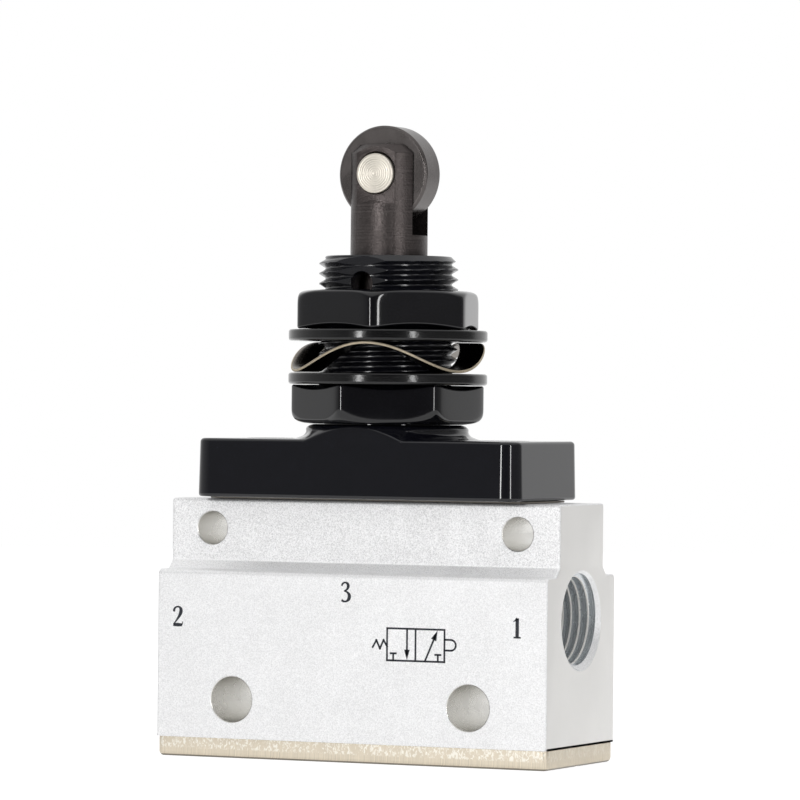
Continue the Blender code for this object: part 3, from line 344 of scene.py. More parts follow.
class Shell:
    """A closed surface that is gathered from grids and end faces, then made one mesh."""

    def __init__(self) -> None:
        """Start with nothing."""
        self.points: list[Grid] = []
        self.faces: list[list[int]] = []
        self.count = 0

    def grid(self, points: Grid, wrap_rows: bool = False, wrap_columns: bool = True) -> "Shell":
        """Add a grid of quads, one for each cell.

        Args:
            points: The grid's points as rows, columns and coordinates.
            wrap_rows: Whether the last row joins the first.
            wrap_columns: Whether the last column joins the first.

        Returns:
            The shell itself.
        """
        rows, columns = points.shape[:2]
        index = np.arange(rows * columns).reshape(rows, columns) + self.count
        if wrap_rows:
            index = np.concatenate([index, index[:1]])
        if wrap_columns:
            index = np.concatenate([index, index[:, :1]], axis=1)
        corners = (index[:-1, :-1], index[:-1, 1:], index[1:, 1:], index[1:, :-1])
        self.faces += np.stack(corners, axis=2).reshape(-1, 4).tolist()
        self.points.append(points.reshape(-1, 3))
        self.count += rows * columns
        return self

    def end(self, ring: Grid) -> "Shell":
        """Add one flat face over a ring of points."""
        self.faces.append((np.arange(len(ring)) + self.count).tolist())
        self.points.append(ring)
        self.count += len(ring)
        return self

    def make(self, name: str, turn: Grid = UPRIGHT, shift: Triple = IN_PLACE) -> bpy.types.Object:
        """Make the mesh, with its place in its points.

        Points that coincide are merged, which closes seams and poles, and then all faces are
        turned outwards.

        Args:
            name: The object's name.
            turn: A turn for the points, as a matrix, made before the shift.
            shift: Where the shell's own origin goes, in millimetres.

        Returns:
            The object, in the scene.
        """
        points = (np.concatenate(self.points) @ turn.T + np.asarray(shift)) * MM
        mesh = bpy.data.meshes.new(name)
        mesh.from_pydata(points, [], self.faces)
        made = bpy.data.objects.new(name, mesh)
        bpy.context.scene.collection.objects.link(made)
        tidy(made)
        return made


def tidy(piece: bpy.types.Object) -> None:
    """Merge a piece's doubles, turn its faces outwards, and shade it smooth between real edges.

    Args:
        piece: The piece.
    """
    form = bmesh.new()
    form.from_mesh(piece.data)
    bmesh.ops.remove_doubles(form, verts=form.verts, dist=WELD * MM)
    bmesh.ops.recalc_face_normals(form, faces=form.faces)
    form.to_mesh(piece.data)
    form.free()
    piece.data.shade_smooth()
    piece.data.set_sharp_from_angle(angle=math.radians(SHARP_ANGLE))


def carve(piece: bpy.types.Object, tools: list[bpy.types.Object],
          operation: str = "DIFFERENCE") -> bpy.types.Object:
    """Cut, join or intersect a piece with other shapes, which are used up.

    Args:
        piece: The piece.
        tools: The shapes.
        operation: The Boolean operation.

    Returns:
        The piece with its new mesh.
    """
    for tool in tools:
        modifier = piece.modifiers.new(tool.name, "BOOLEAN")
        modifier.operation = operation
        modifier.solver = "EXACT"
        modifier.object = tool
    bpy.context.view_layer.update()
    graph = bpy.context.evaluated_depsgraph_get()
    mesh = bpy.data.meshes.new_from_object(piece.evaluated_get(graph))
    old, name = piece.data, piece.data.name
    piece.modifiers.clear()
    piece.data = mesh
    bpy.data.meshes.remove(old)
    mesh.name = name
    for tool in tools:
        bpy.data.objects.remove(tool)
    tidy(piece)
    return piece


def turned(name: str, profile: Grid, steps: int = ROUND_STEPS, closed: bool = False,
           turn: Grid = UPRIGHT, shift: Triple = IN_PLACE) -> bpy.types.Object:
    """A turned piece: its profile carried once round its own Z axis.

    Args:
        name: The piece's name.
        profile: (radius, height) rows, from axis to axis, or closed on itself.
        steps: How many columns the turn has.
        closed: Whether the profile closes on itself.
        turn: A turn for the piece.
        shift: Where its origin goes.

    Returns:
        The piece.
    """
    return Shell().grid(revolve(profile, steps), wrap_rows=closed).make(name, turn, shift)


def box(name: str, low: Triple, high: Triple) -> bpy.types.Object:
    """A plain box between two corners, to cut with.

    Args:
        name: The cutter's name.
        low: Its corner with the lowest coordinates.
        high: Its corner with the highest ones.

    Returns:
        The cutter.
    """
    low, high = np.asarray(low, float), np.asarray(high, float)
    ring = np.array([[0, 0], [1, 0], [1, 1], [0, 1]], float)
    level = [np.column_stack([ring, np.full(4, rise)]) * (high - low) + low for rise in (0.0, 1.0)]
    return Shell().grid(np.stack(level)).end(level[0]).end(level[1]).make(name)


def drill(name: str, radius: float, reach: float, chamfer: float, turn: Grid,
          shift: Triple, steps: int) -> bpy.types.Object:
    """A through hole with a chamfer where it leaves each face.

    Args:
        name: The cutter's name.
        radius: The hole's radius.
        reach: The distance from its middle to each face.
        chamfer: The width of the chamfer.
        turn: A turn from Z to the hole's axis.
        shift: The hole's middle.
        steps: How many columns the hole has.

    Returns:
        The cutter.
    """
    wide = radius + chamfer + OVERRUN
    top = reach + OVERRUN
    profile = np.array([(0.0, top), (wide, top), (radius, reach - chamfer),
                        (radius, chamfer - reach), (wide, -top), (0.0, -top)])
    return turned(name, profile, steps, turn=turn, shift=shift)


def stepped(name: str, steps: tuple[Pair, ...], top: float, columns: int) -> bpy.types.Object:
    """The cutter for a stepped bore: a cylinder of each radius, one below the other.

    Args:
        name: The cutter's name.
        steps: (radius, height of its lower end) of each cylinder, from the top down.
        top: Where the highest one starts.
        columns: How many columns the full turn has.

    Returns:
        The cutter.
    """
    profile, high = [(0.0, top)], top
    for radius, low in steps:
        profile += [(radius, high), (radius, low)]
        high = low
    return turned(name, np.array([*profile, (0.0, high)]), columns)


# ---------------------------------------------------------------------------------------------
# Node trees
# ---------------------------------------------------------------------------------------------

FLOAT = "NodeSocketFloat"
VECTOR = "NodeSocketVector"
COLOUR = "NodeSocketColor"


class Sheet:
    """A node tree that is written in short calls."""

    def __init__(self, tree: bpy.types.NodeTree) -> None:
        """Keep the tree."""
        self.tree = tree

    def feed(self, socket: bpy.types.NodeSocket, value: object) -> None:
        """Link another socket to an input, or set the input's own value, a colour as opaque."""
        if isinstance(value, bpy.types.NodeSocket):
            self.tree.links.new(value, socket)
        else:
            socket.default_value = (*value, 1.0) if socket.type == "RGBA" else value

    def add(self, kind: str, inputs: dict | None = None, **settings: object) -> bpy.types.Node:
        """Add a node.

        Args:
            kind: The node's type.
            inputs: What feeds its inputs, by name or number.
            settings: Its own settings.

        Returns:
            The node.
        """
        node = self.tree.nodes.new(kind)
        for name, value in settings.items():
            setattr(node, name, value)
        for key, value in (inputs or {}).items():
            self.feed(node.inputs[key], value)
        return node

    def math(self, operation: str, *values: object, clamp: bool = False) -> bpy.types.NodeSocket:
        """The result of a Math node."""
        return self.add("ShaderNodeMath", dict(enumerate(values)), operation=operation,
                        use_clamp=clamp).outputs[0]

    def length(self, first: object, second: object) -> bpy.types.NodeSocket:
        """The root of the sum of two squares."""
        squares = [self.math("POWER", value, 2.0) for value in (first, second)]
        return self.math("SQRT", self.math("ADD", *squares))

    def scale(self, colour: object, level: object) -> bpy.types.NodeSocket:
        """A colour made lighter or darker by a level."""
        inputs = {0: colour, "Scale": level}
        return self.add("ShaderNodeVectorMath", inputs, operation="SCALE").outputs[0]

    def noise(self, vector: object, scale: object, detail: float,
              **more: float) -> bpy.types.NodeSocket:
        """The value of a Noise Texture, with more of its inputs by their names."""
        inputs = {"Vector": vector, "Scale": scale, "Detail": detail}
        inputs.update((name.capitalize(), value) for name, value in more.items())
        return self.add("ShaderNodeTexNoise", inputs).outputs[0]

    def mix(self, share: object, first: object, second: object) -> bpy.types.NodeSocket:
        """Two colours mixed by a share."""
        return self.add("ShaderNodeMix", {0: share, 6: first, 7: second}, data_type="RGBA",
                        clamp_factor=True).outputs[2]

    def blend(self, share: object, first: object, second: object) -> bpy.types.NodeSocket:
        """Two values mixed by a share."""
        return self.add("ShaderNodeMix", {0: share, 2: first, 3: second}, data_type="FLOAT",
                        clamp_factor=True).outputs[0]

    def step(self, value: object, low: float, high: float) -> bpy.types.NodeSocket:
        """A smooth step from 0 at low to 1 at high."""
        inputs = {"Value": value, "From Min": low, "From Max": high}
        node = self.add("ShaderNodeMapRange", inputs, interpolation_type="SMOOTHSTEP")
        return node.outputs["Result"]


class Surface(Sheet):
    """A material's node tree, with the piece's own coordinates in metres."""

    def __init__(self, tree: bpy.types.NodeTree) -> None:
        """Keep the tree, and set out the coordinates whole and one by one."""
        super().__init__(tree)
        self.where = self.add("ShaderNodeTexCoord").outputs["Object"]
        self.x, self.y, self.z = self.add("ShaderNodeSeparateXYZ", {0: self.where}).outputs

    def effect(self, name: str, **inputs: object) -> bpy.types.NodeSocket:
        """One of the shared effects at the piece's coordinates, fed by its inputs' names."""
        named = {key.capitalize(): value for key, value in inputs.items()}
        return self.add("ShaderNodeGroup", {"Vector": self.where, **named},
                        node_tree=bpy.data.node_groups[name]).outputs[0]


def new_group(name: str, inputs: Sockets, output: tuple[str, str]) -> tuple[Sheet, dict, object]:
    """Start a shared effect.

    Args:
        name: The group's name.
        inputs: The type and default of each named input.
        output: The name and type of its output.

    Returns:
        The group's sheet, its input sockets by name, and the socket that its result goes to.
    """
    tree = bpy.data.node_groups.new(name, "ShaderNodeTree")
    for label, (kind, default) in inputs.items():
        socket = tree.interface.new_socket(label, in_out="INPUT", socket_type=kind)
        if default is not None:
            socket.default_value = default
    tree.interface.new_socket(output[0], in_out="OUTPUT", socket_type=output[1])
    entry = tree.nodes.new("NodeGroupInput")
    leave = tree.nodes.new("NodeGroupOutput")
    return Sheet(tree), {socket.name: socket for socket in entry.outputs}, leave.inputs[0]


class Effects:
    """The shared effects, as node groups that each material places with its own values."""

    @staticmethod
    def grain() -> None:
        """Fine even grain, as blasted or cast skin has: noise with its contrast raised."""
        sheet, given, result = new_group("grain", {
            "Vector": (VECTOR, None), "Scale": (FLOAT, 4000.0), "Contrast": (FLOAT, 1.0),
        }, ("Value", FLOAT))
        noise = sheet.noise(given["Vector"], given["Scale"], 3.0, roughness=0.62)
        swing = sheet.math("SUBTRACT", noise, 0.5)
        raised = sheet.math("MULTIPLY", swing, given["Contrast"])
        sheet.feed(result, sheet.math("ADD", raised, 0.5, clamp=True))

    @staticmethod
    def smudge() -> None:
        """Soft patches between two values, as handling and uneven finish leave."""
        sheet, given, result = new_group("smudge", {
            "Vector": (VECTOR, None), "Scale": (FLOAT, 200.0),
            "Low": (FLOAT, 0.0), "High": (FLOAT, 1.0),
        }, ("Value", FLOAT))
        noise = sheet.noise(given["Vector"], given["Scale"], 4.0, roughness=0.55, distortion=0.6)
        share = sheet.step(noise, 0.3, 0.7)
        sheet.feed(result, sheet.blend(share, given["Low"], given["High"]))

    @staticmethod
    def tint() -> None:
        """A colour that grows a little lighter and darker over the surface."""
        sheet, given, result = new_group("tint", {
            "Color": (COLOUR, (0.5, 0.5, 0.5, 1.0)), "Vector": (VECTOR, None),
            "Scale": (FLOAT, 300.0), "Amount": (FLOAT, 0.05),
        }, ("Color", COLOUR))
        noise = sheet.noise(given["Vector"], given["Scale"], 5.0, roughness=0.6)
        swing = sheet.math("SUBTRACT", noise, 0.5)
        level = sheet.math("MULTIPLY_ADD", swing, sheet.math("MULTIPLY", given["Amount"], 4.0), 1.0)
        sheet.feed(result, sheet.scale(given["Color"], level))

    @staticmethod
    def tool_lines() -> None:
        """Lines that a cutting tool leaves: noise along one coordinate, bent by a little noise."""
        sheet, given, result = new_group("tool_lines", {
            "Across": (FLOAT, 0.0), "Vector": (VECTOR, None),
            "Scale": (FLOAT, 8000.0), "Wobble": (FLOAT, 0.2),
        }, ("Value", FLOAT))
        drift = sheet.noise(given["Vector"], 400.0, 1.0)
        bend = sheet.math("MULTIPLY", drift, given["Wobble"])
        place = sheet.math("MULTIPLY_ADD", given["Across"], given["Scale"], bend)
        lines = sheet.add("ShaderNodeTexNoise", {"W": place, "Scale": 1.0, "Detail": 3.0},
                          noise_dimensions="1D")
        sheet.feed(result, lines.outputs[0])

    @classmethod
    def build(cls) -> None:
        """Build each effect once."""
        for effect in (cls.grain, cls.smudge, cls.tint, cls.tool_lines):
            effect()


class Lines(Enum):
    """Which way a finish's tool lines run."""

    NONE = "none"
    ROUND_AXIS = "rings round the valve's axis"
    ROUND_PIN = "rings round the roller's pin"


@dataclass(frozen=True)
class Finish:
    """A surface finish, whose grain, lines, patches and tint vary over the piece."""

    name: str
    colour: Triple
    metallic: float = 0.0
    roughness: Pair = (0.4, 0.5)
    patch_scale: float = 250.0
    tint: float = 0.05
    tint_scale: float = 600.0
    grain_scale: float = 4000.0
    grain_contrast: float = 1.2
    grain_depth: float = 0.004
    lines: Lines = Lines.NONE
    line_scale: float = 9000.0
    line_depth: float = 0.002
    line_wobble: float = 0.6
    ior: float = 1.45
    pin_z: float = 58.2

    def across(self, on: Surface) -> object:
        """The coordinate that the tool lines follow each other along."""
        if self.lines is Lines.ROUND_PIN:
            rise = on.math("SUBTRACT", on.z, self.pin_z * MM)
            return on.math("ADD", on.length(on.x, rise), on.y)
        return on.math("ADD", on.length(on.x, on.y), on.z)

    def colour_of(self, on: Surface) -> object:
        """The base colour: the finish's own, tinted over the surface."""
        return on.effect("tint", color=self.colour, scale=self.tint_scale, amount=self.tint)

    def roughness_of(self, on: Surface) -> object:
        """The roughness: soft patches between two values."""
        low, high = self.roughness
        return on.effect("smudge", scale=self.patch_scale, low=low, high=high)

    def metallic_of(self, _: Surface) -> object:
        """The share of metal, the same all over."""
        return self.metallic

    def height_of(self, on: Surface) -> object:
        """The fine height: grain, and tool lines if there are any.

        Args:
            on: The surface.

        Returns:
            The height in micrometres.
        """
        grain = on.effect("grain", scale=self.grain_scale, contrast=self.grain_contrast)
        height = on.math("MULTIPLY", grain, self.grain_depth / MM)
        if self.lines is Lines.NONE:
            return height
        lines = on.effect("tool_lines", across=self.across(on), scale=self.line_scale,
                          wobble=self.line_wobble)
        return on.math("MULTIPLY_ADD", lines, self.line_depth / MM, height)

    def material(self) -> bpy.types.Material:
        """The finish's material, made once.

        Returns:
            The material.
        """
        found = bpy.data.materials.get(self.name)
        if found:
            return found
        made = bpy.data.materials.new(self.name)
        made.use_nodes = True
        on = Surface(made.node_tree)
        shader = made.node_tree.nodes["Principled BSDF"]
        on.feed(shader.inputs["Base Color"], self.colour_of(on))
        on.feed(shader.inputs["Roughness"], self.roughness_of(on))
        on.feed(shader.inputs["Metallic"], self.metallic_of(on))
        bump = on.add("ShaderNodeBump", {"Height": self.height_of(on), "Distance": MM * MM,
                                         "Strength": 1.0})
        on.feed(shader.inputs["Normal"], bump.outputs[0])
        on.feed(shader.inputs["IOR"], self.ior)
        return made

    def dress(self, piece: bpy.types.Object) -> None:
        """Give a piece this finish alone."""
        piece.data.materials.clear()
        piece.data.materials.append(self.material())


@dataclass(frozen=True)
class BlastedAluminium(Finish):
    """Blasted and anodised aluminium, with milled ends and cut threads in its ports."""

    level: float = 0.975
    speck_scale: float = 8200.0
    speck_contrast: float = 2.2
    speck_amount: float = 0.36
    speck_more: float = 0.28
    upper: Pair = (18.0, 20.0)
    # Painted highlight: a lift that lightens the ledge band between these heights, standing in for
    # light from above on the slope.
    ledge: Pair = (18.3, 19.6)
    ledge_highlight_fade: float = 0.1
    ledge_painted_highlight: float = 0.10
    end_x: float = 21.28
    end_colour: Triple = (0.83, 0.82, 0.80)
    milled: Pair = (0.36, 0.42)
    milled_depth: float = 0.8
    milled_sweep: float = 18.0
    bore_colour: Triple = (0.75, 0.74, 0.71)
    bore_metallic: float = 0.95
    bores: tuple[Triple, ...] = ((12.94, 5.67, 2.33), (16.75, 22.66, 1.71))
    cut: Pair = (0.22, 0.30)
    port_z: float = 14.13
    port_radius: float = 5.0
    port_end_x: float = 12.0
    mouth_x: float = 21.29
    # Painted highlight and shade in the ports: a near-white crest over flanks whose darker colour
    # is partly the cut metal's own and partly painted shade.
    port_metal_and_shade_colour: Triple = (0.70, 0.73, 0.75)
    port_metallic: float = 0.75
    crest_highlight_reach: Pair = (4.43, 4.37)
    crest_highlight_colour: Triple = (0.97, 0.955, 0.92)
    crest_highlight_metallic: float = 0.1

    def in_bores(self, on: Surface) -> object:
        """Where the surface is inside one of the cross holes.

        Args:
            on: The surface.

        Returns:
            The mask.
        """
        along = on.math("ABSOLUTE", on.x)
        found = 0.0
        for bore_x, bore_z, radius in self.bores:
            away = on.length(on.math("SUBTRACT", along, bore_x * MM),
                             on.math("SUBTRACT", on.z, bore_z * MM))
            found = on.math("MAXIMUM", on.math("LESS_THAN", away, radius * MM), found)
        return found

    def port_reach(self, on: Surface) -> object:
        """How far the surface is from the ports' axis."""
        return on.length(on.y, on.math("SUBTRACT", on.z, self.port_z * MM))

    def crest_highlight(self, on: Surface) -> object:
        """How much the surface is on the crest of the ports' thread, which gets a painted
        highlight.
        """
        first, last = self.crest_highlight_reach
        return on.step(self.port_reach(on), first * MM, last * MM)

    def in_ports(self, on: Surface) -> object:
        """Where the surface is inside a port, behind the cone of its mouth.

        Args:
            on: The surface.

        Returns:
            The mask.
        """
        along, radius = on.math("ABSOLUTE", on.x), self.port_reach(on)
        near = on.math("LESS_THAN", radius, self.port_radius * MM)
        deep = on.math("GREATER_THAN", along, self.port_end_x * MM)
        past_cone = on.math("GREATER_THAN", on.math("SUBTRACT", radius, along),
                            (self.port_radius - self.mouth_x) * MM)
        return on.math("MULTIPLY", on.math("MULTIPLY", near, deep), past_cone)

    def on_ends(self, on: Surface) -> object:
        """Where the surface is a milled end."""
        return on.math("GREATER_THAN", on.math("ABSOLUTE", on.x), self.end_x * MM)

    def colour_of(self, on: Surface) -> object:
        """A bright speckled skin with a painted highlight on the ledge band, plainer ends, greyer
        holes, and in the ports a painted highlight on the thread crest over painted shade on the
        flanks.

        Args:
            on: The surface.

        Returns:
            The colour.
        """
        speck = on.effect("grain", scale=self.speck_scale, contrast=self.speck_contrast)
        upper = on.step(on.z, self.upper[0] * MM, self.upper[1] * MM)
        amount = on.math("MULTIPLY_ADD", upper, self.speck_more, self.speck_amount)
        swing = on.math("MULTIPLY", on.math("SUBTRACT", speck, 0.5), amount)
        # Painted highlight: the ledge band is made lighter than the rest of the skin.
        low, high = self.ledge
        fade = self.ledge_highlight_fade
        ledge = on.math("MULTIPLY", on.step(on.z, (low - fade) * MM, low * MM),
                        on.step(on.z, high * MM, (high - fade) * MM))
        level = on.math("MULTIPLY_ADD", ledge, self.ledge_painted_highlight, self.level)
        skin = on.scale(super().colour_of(on), on.math("ADD", swing, level))
        ends = on.effect("tint", color=self.end_colour, scale=350.0, amount=0.015)
        outside = on.mix(self.on_ends(on), skin, ends)
        bored = on.mix(self.in_bores(on), outside, self.bore_colour)
        # Painted highlight on the thread crest, over the flanks' partly painted shade.
        thread = on.mix(self.crest_highlight(on), self.port_metal_and_shade_colour, self.crest_highlight_colour)
        return on.mix(self.in_ports(on), bored, thread)

    def roughness_of(self, on: Surface) -> object:
        """The blasted skin is rough, the milled ends less so, and holes and threads are smooth."""
        milled = on.effect("smudge", scale=180.0, low=self.milled[0], high=self.milled[1])
        cut = on.effect("smudge", scale=300.0, low=self.cut[0], high=self.cut[1])
        smooth = on.math("MAXIMUM", self.in_ports(on), self.in_bores(on))
        outside = on.blend(self.on_ends(on), super().roughness_of(on), milled)
        return on.blend(smooth, outside, cut)

    def metallic_of(self, on: Surface) -> object:
        """The anodised skin scatters light, holes and cut threads are bare metal, and the painted
        highlight on the thread crest is almost plain.
        """
        outside = on.blend(self.in_bores(on), self.metallic, self.bore_metallic)
        thread = on.blend(self.crest_highlight(on), self.port_metallic, self.crest_highlight_metallic)
        return on.blend(self.in_ports(on), outside, thread)

    def height_of(self, on: Surface) -> object:
        """Blasted grain on the skin, faint curved milling lines on the ends, smooth ports."""
        sweep = on.math("MULTIPLY_ADD", on.math("POWER", on.y, 2.0), self.milled_sweep, on.z)
        lines = on.effect("tool_lines", across=sweep, scale=5000.0, wobble=0.3)
        milled = on.math("MULTIPLY", lines, self.milled_depth)
        outside = on.blend(self.on_ends(on), super().height_of(on), milled)
        return on.blend(self.in_ports(on), outside, 0.0)


@dataclass(frozen=True)
class BurnishedPlate(Finish):
    """Nickel-plated sheet whose sheared edge is burnished above and finely torn below."""

    upper: Pair = (0.55, 0.80)
    end_x: float = 21.0
    marks_scale: float = 3600.0
    marks_level: Pair = (0.48, 0.62)
    marks_share: float = 0.80
    marks_less: float = -0.5
    marks_height: float = 4.0
    streaks: float = 0.45
    streaks_height: float = 5.0
    # Painted glint: the burnished marks are real texture, but this light cream colour stands in for
    # light catching them.
    bright: Triple = (0.98, 0.95, 0.87)
    # Painted contact shadow: the band along the plate's foot and how much darker it is.
    foot: Pair = (0.03, -0.05)
    painted_foot_shadow: float = -0.7

    def bands(self, on: Surface) -> tuple[object, object]:
        """The burnished marks in the upper band, fewer on the ends, and the lines below it.

        Args:
            on: The surface.

        Returns:
            The share of the marks, and the lines' value round 0.
        """
        upper = on.step(on.z, self.upper[0] * MM, self.upper[1] * MM)
        tall = on.add("ShaderNodeMapping", {"Vector": on.where, "Scale": (1.0, 1.0, 0.6)})
        noise = on.noise(tall.outputs[0], self.marks_scale, 3.0, distortion=1.2)
        end = on.math("GREATER_THAN", on.math("ABSOLUTE", on.x), self.end_x * MM)
        share = on.math("MULTIPLY_ADD", end, self.marks_less, self.marks_share)
        share = on.math("MULTIPLY", upper, share)
        marks = on.math("MULTIPLY", on.step(noise, *self.marks_level), share)
        lines = on.effect("tool_lines", across=on.math("ADD", on.x, on.y), scale=7000.0,
                          wobble=0.8)
        lower = on.math("SUBTRACT", 1.0, upper)
        return marks, on.math("MULTIPLY", on.math("SUBTRACT", lines, 0.5), lower)

    def colour_of(self, on: Surface) -> object:
        """Warm nickel, with a painted glint lightening the burnished marks, streaked below them,
        and a painted contact shadow along its foot.

        Args:
            on: The surface.

        Returns:
            The colour.
        """
        marks, lines = self.bands(on)
        # Painted contact shadow along the plate's foot.
        foot = on.step(on.z, self.foot[0] * MM, self.foot[1] * MM)
        level = on.math("MULTIPLY", on.math("MULTIPLY_ADD", lines, self.streaks, 1.0),
                        on.math("MULTIPLY_ADD", foot, self.painted_foot_shadow, 1.0))
        # Painted glint: the burnished marks are mixed towards a light cream.
        return on.mix(marks, on.scale(super().colour_of(on), level), self.bright)

    def height_of(self, on: Surface) -> object:
        """The marks and lines stand and sink a few micrometres."""
        marks, lines = self.bands(on)
        raised = on.math("MULTIPLY_ADD", marks, self.marks_height, super().height_of(on))
        return on.math("MULTIPLY_ADD", lines, self.streaks_height, raised)


@dataclass(frozen=True)
class PaintedCasting(Finish):
    """Gloss black paint that lies smooth on the cap and duller over the collar's thread."""

    thread_z: Pair = (33.4, 33.6)
    thread_roughness: float = 0.21

    def roughness_of(self, on: Surface) -> object:
        """Smooth below the thread, duller on it."""
        on_thread = on.step(on.z, self.thread_z[0] * MM, self.thread_z[1] * MM)
        return on.blend(on_thread, super().roughness_of(on), self.thread_roughness)


@dataclass(frozen=True)
class WaveSteel(Finish):
    """Oiled spring steel with dark faces and a bright tumbled edge."""

    rim_reach: Pair = (9.55, 9.61)
    rim_colour: Triple = (0.52, 0.45, 0.34)
    rim_roughness: float = 0.5

    def rim(self, on: Surface) -> object:
        """Where the surface is the ring's outer edge."""
        first, last = self.rim_reach
        return on.step(on.length(on.x, on.y), first * MM, last * MM)

    def colour_of(self, on: Surface) -> object:
        """Dark oiled faces and a tan edge."""
        edge = on.effect("tint", color=self.rim_colour, scale=1500.0, amount=0.12)
        return on.mix(self.rim(on), super().colour_of(on), edge)

    def roughness_of(self, on: Surface) -> object:
        """Smooth faces and a rougher edge."""
        return on.blend(self.rim(on), super().roughness_of(on), self.rim_roughness)


class Finishes:
    """Every finish of the valve."""

    ALUMINIUM = BlastedAluminium(
        "blasted_aluminium", (0.88, 0.88, 0.885), metallic=0.55, roughness=(0.46, 0.56),
        tint=0.02, tint_scale=500.0, grain_scale=7500.0, grain_contrast=1.6, grain_depth=0.010)
    PLATE = BurnishedPlate(
        "burnished_nickel_plate", (0.73, 0.65, 0.52), metallic=0.50, roughness=(0.36, 0.46),
        tint=0.05, tint_scale=900.0, grain_scale=6000.0, grain_depth=0.003)
    SCREW = Finish(
        "nickel_plated_screw", (0.66, 0.62, 0.54), metallic=1.0, roughness=(0.26, 0.38),
        lines=Lines.ROUND_AXIS, line_scale=7000.0, line_depth=0.002)
    GLOSS_BLACK = PaintedCasting(
        "gloss_black_paint", (0.0050, 0.0052, 0.0080), roughness=(0.05, 0.09), patch_scale=160.0,
        tint=0.1, grain_scale=900.0, grain_contrast=0.8, grain_depth=0.0025, ior=1.5)
    NUT_BLACK = Finish(
        "gloss_black_nut", (0.003, 0.003, 0.0045), roughness=(0.05, 0.09), patch_scale=220.0,
        tint=0.1, grain_scale=1400.0, grain_contrast=0.8, grain_depth=0.0015, ior=1.5)
    SATIN_BLACK = Finish(
        "satin_black_washer", (0.003, 0.003, 0.0035), roughness=(0.12, 0.18), tint=0.15,
        grain_scale=3200.0, grain_depth=0.006, lines=Lines.ROUND_AXIS, line_scale=5000.0,
        line_depth=0.002, ior=1.48)
    WAVE = WaveSteel(
        "oiled_spring_steel", (0.16, 0.14, 0.12), metallic=1.0, roughness=(0.16, 0.28), tint=0.12,
        grain_scale=3000.0, grain_depth=0.003)
    STEM = Finish(
        "bronze_black_oxide_stem", (0.073, 0.063, 0.061), metallic=0.9, roughness=(0.30, 0.40),
        tint=0.14, tint_scale=1600.0, grain_scale=5000.0, grain_contrast=2.0, grain_depth=0.016,
        lines=Lines.ROUND_AXIS, line_scale=4200.0, line_depth=0.030)
    ROLLER = Finish(
        "bronze_black_oxide_roller", (0.105, 0.095, 0.092), metallic=0.9, roughness=(0.24, 0.32),
        tint=0.10, tint_scale=900.0, grain_scale=5000.0, grain_depth=0.004, lines=Lines.ROUND_PIN,
        line_scale=9000.0, line_depth=0.003)
    PIN = Finish(
        "bright_turned_pin", (0.66, 0.62, 0.545), metallic=0.85, roughness=(0.32, 0.42), tint=0.05,
        tint_scale=1500.0, grain_scale=5000.0, grain_depth=0.002, lines=Lines.ROUND_PIN,
        line_scale=4200.0, line_depth=0.011)
    SPRING = Finish(
        "drawn_spring_wire", (0.50, 0.45, 0.36), metallic=1.0, roughness=(0.24, 0.34),
        grain_scale=6000.0, grain_depth=0.003)
    BRASS = Finish(
        "turned_brass", (0.72, 0.55, 0.25), metallic=1.0, roughness=(0.26, 0.38), tint=0.06,
        lines=Lines.ROUND_AXIS, line_scale=7000.0, line_depth=0.003)
    RUBBER = Finish(
        "black_rubber", (0.018, 0.018, 0.019), roughness=(0.55, 0.7), grain_scale=3500.0,
        grain_depth=0.008)
    GASKET = Finish(
        "gasket_sheet", (0.22, 0.20, 0.175), roughness=(0.65, 0.8), grain_scale=3000.0,
        grain_depth=0.010)
    INK = Finish(
        "printed_ink", (0.012, 0.014, 0.022), roughness=(0.42, 0.56), tint=0.2, grain_scale=5200.0,
        grain_contrast=1.6, grain_depth=0.006)


# ---------------------------------------------------------------------------------------------
# The valve's sub-assemblies
# ---------------------------------------------------------------------------------------------

class SubAssembly:
    """A group of pieces that are built, dressed and reported together."""

    def keep(self, piece: bpy.types.Object, finish: Finish, body: str, slot: str,
             *nodes: str) -> bpy.types.Object:
        """Dress a new piece, let it ride on its body, and put it in its nodes' place.

        Args:
            piece: The new piece.
            finish: Its finish.
            body: The body that it rides on.
            slot: The name of a material slot; it is not used.
            nodes: The solids that it stands for.

        Returns:
            The piece.
        """
        finish.dress(piece)
        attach(piece, body)
        if nodes:
            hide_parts(*nodes)
        LOG.info("%s: %d faces", piece.name, len(piece.data.polygons))
        return piece

    def keep_screws(self, kind: str, screws: tuple["Screw", ...]) -> None:
        """Make, dress and keep screws of a kind, numbered from 1."""
        for number, screw in enumerate(screws, start=1):
            name = f"{kind}_{number}"
            self.keep(screw.make(f"{name}_fine"), Finishes.SCREW, "valve_body", "plated_steel",
                      name)

    def dress_nodes(self, finish: Finish, *nodes: str) -> None:
        """Give solids that stay a finish of this scene."""
        for node in nodes:
            finish.dress(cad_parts[node])
            LOG.info("%s: carried over", node)

    def build(self) -> None:
        """Build and dress every piece."""
        raise NotImplementedError


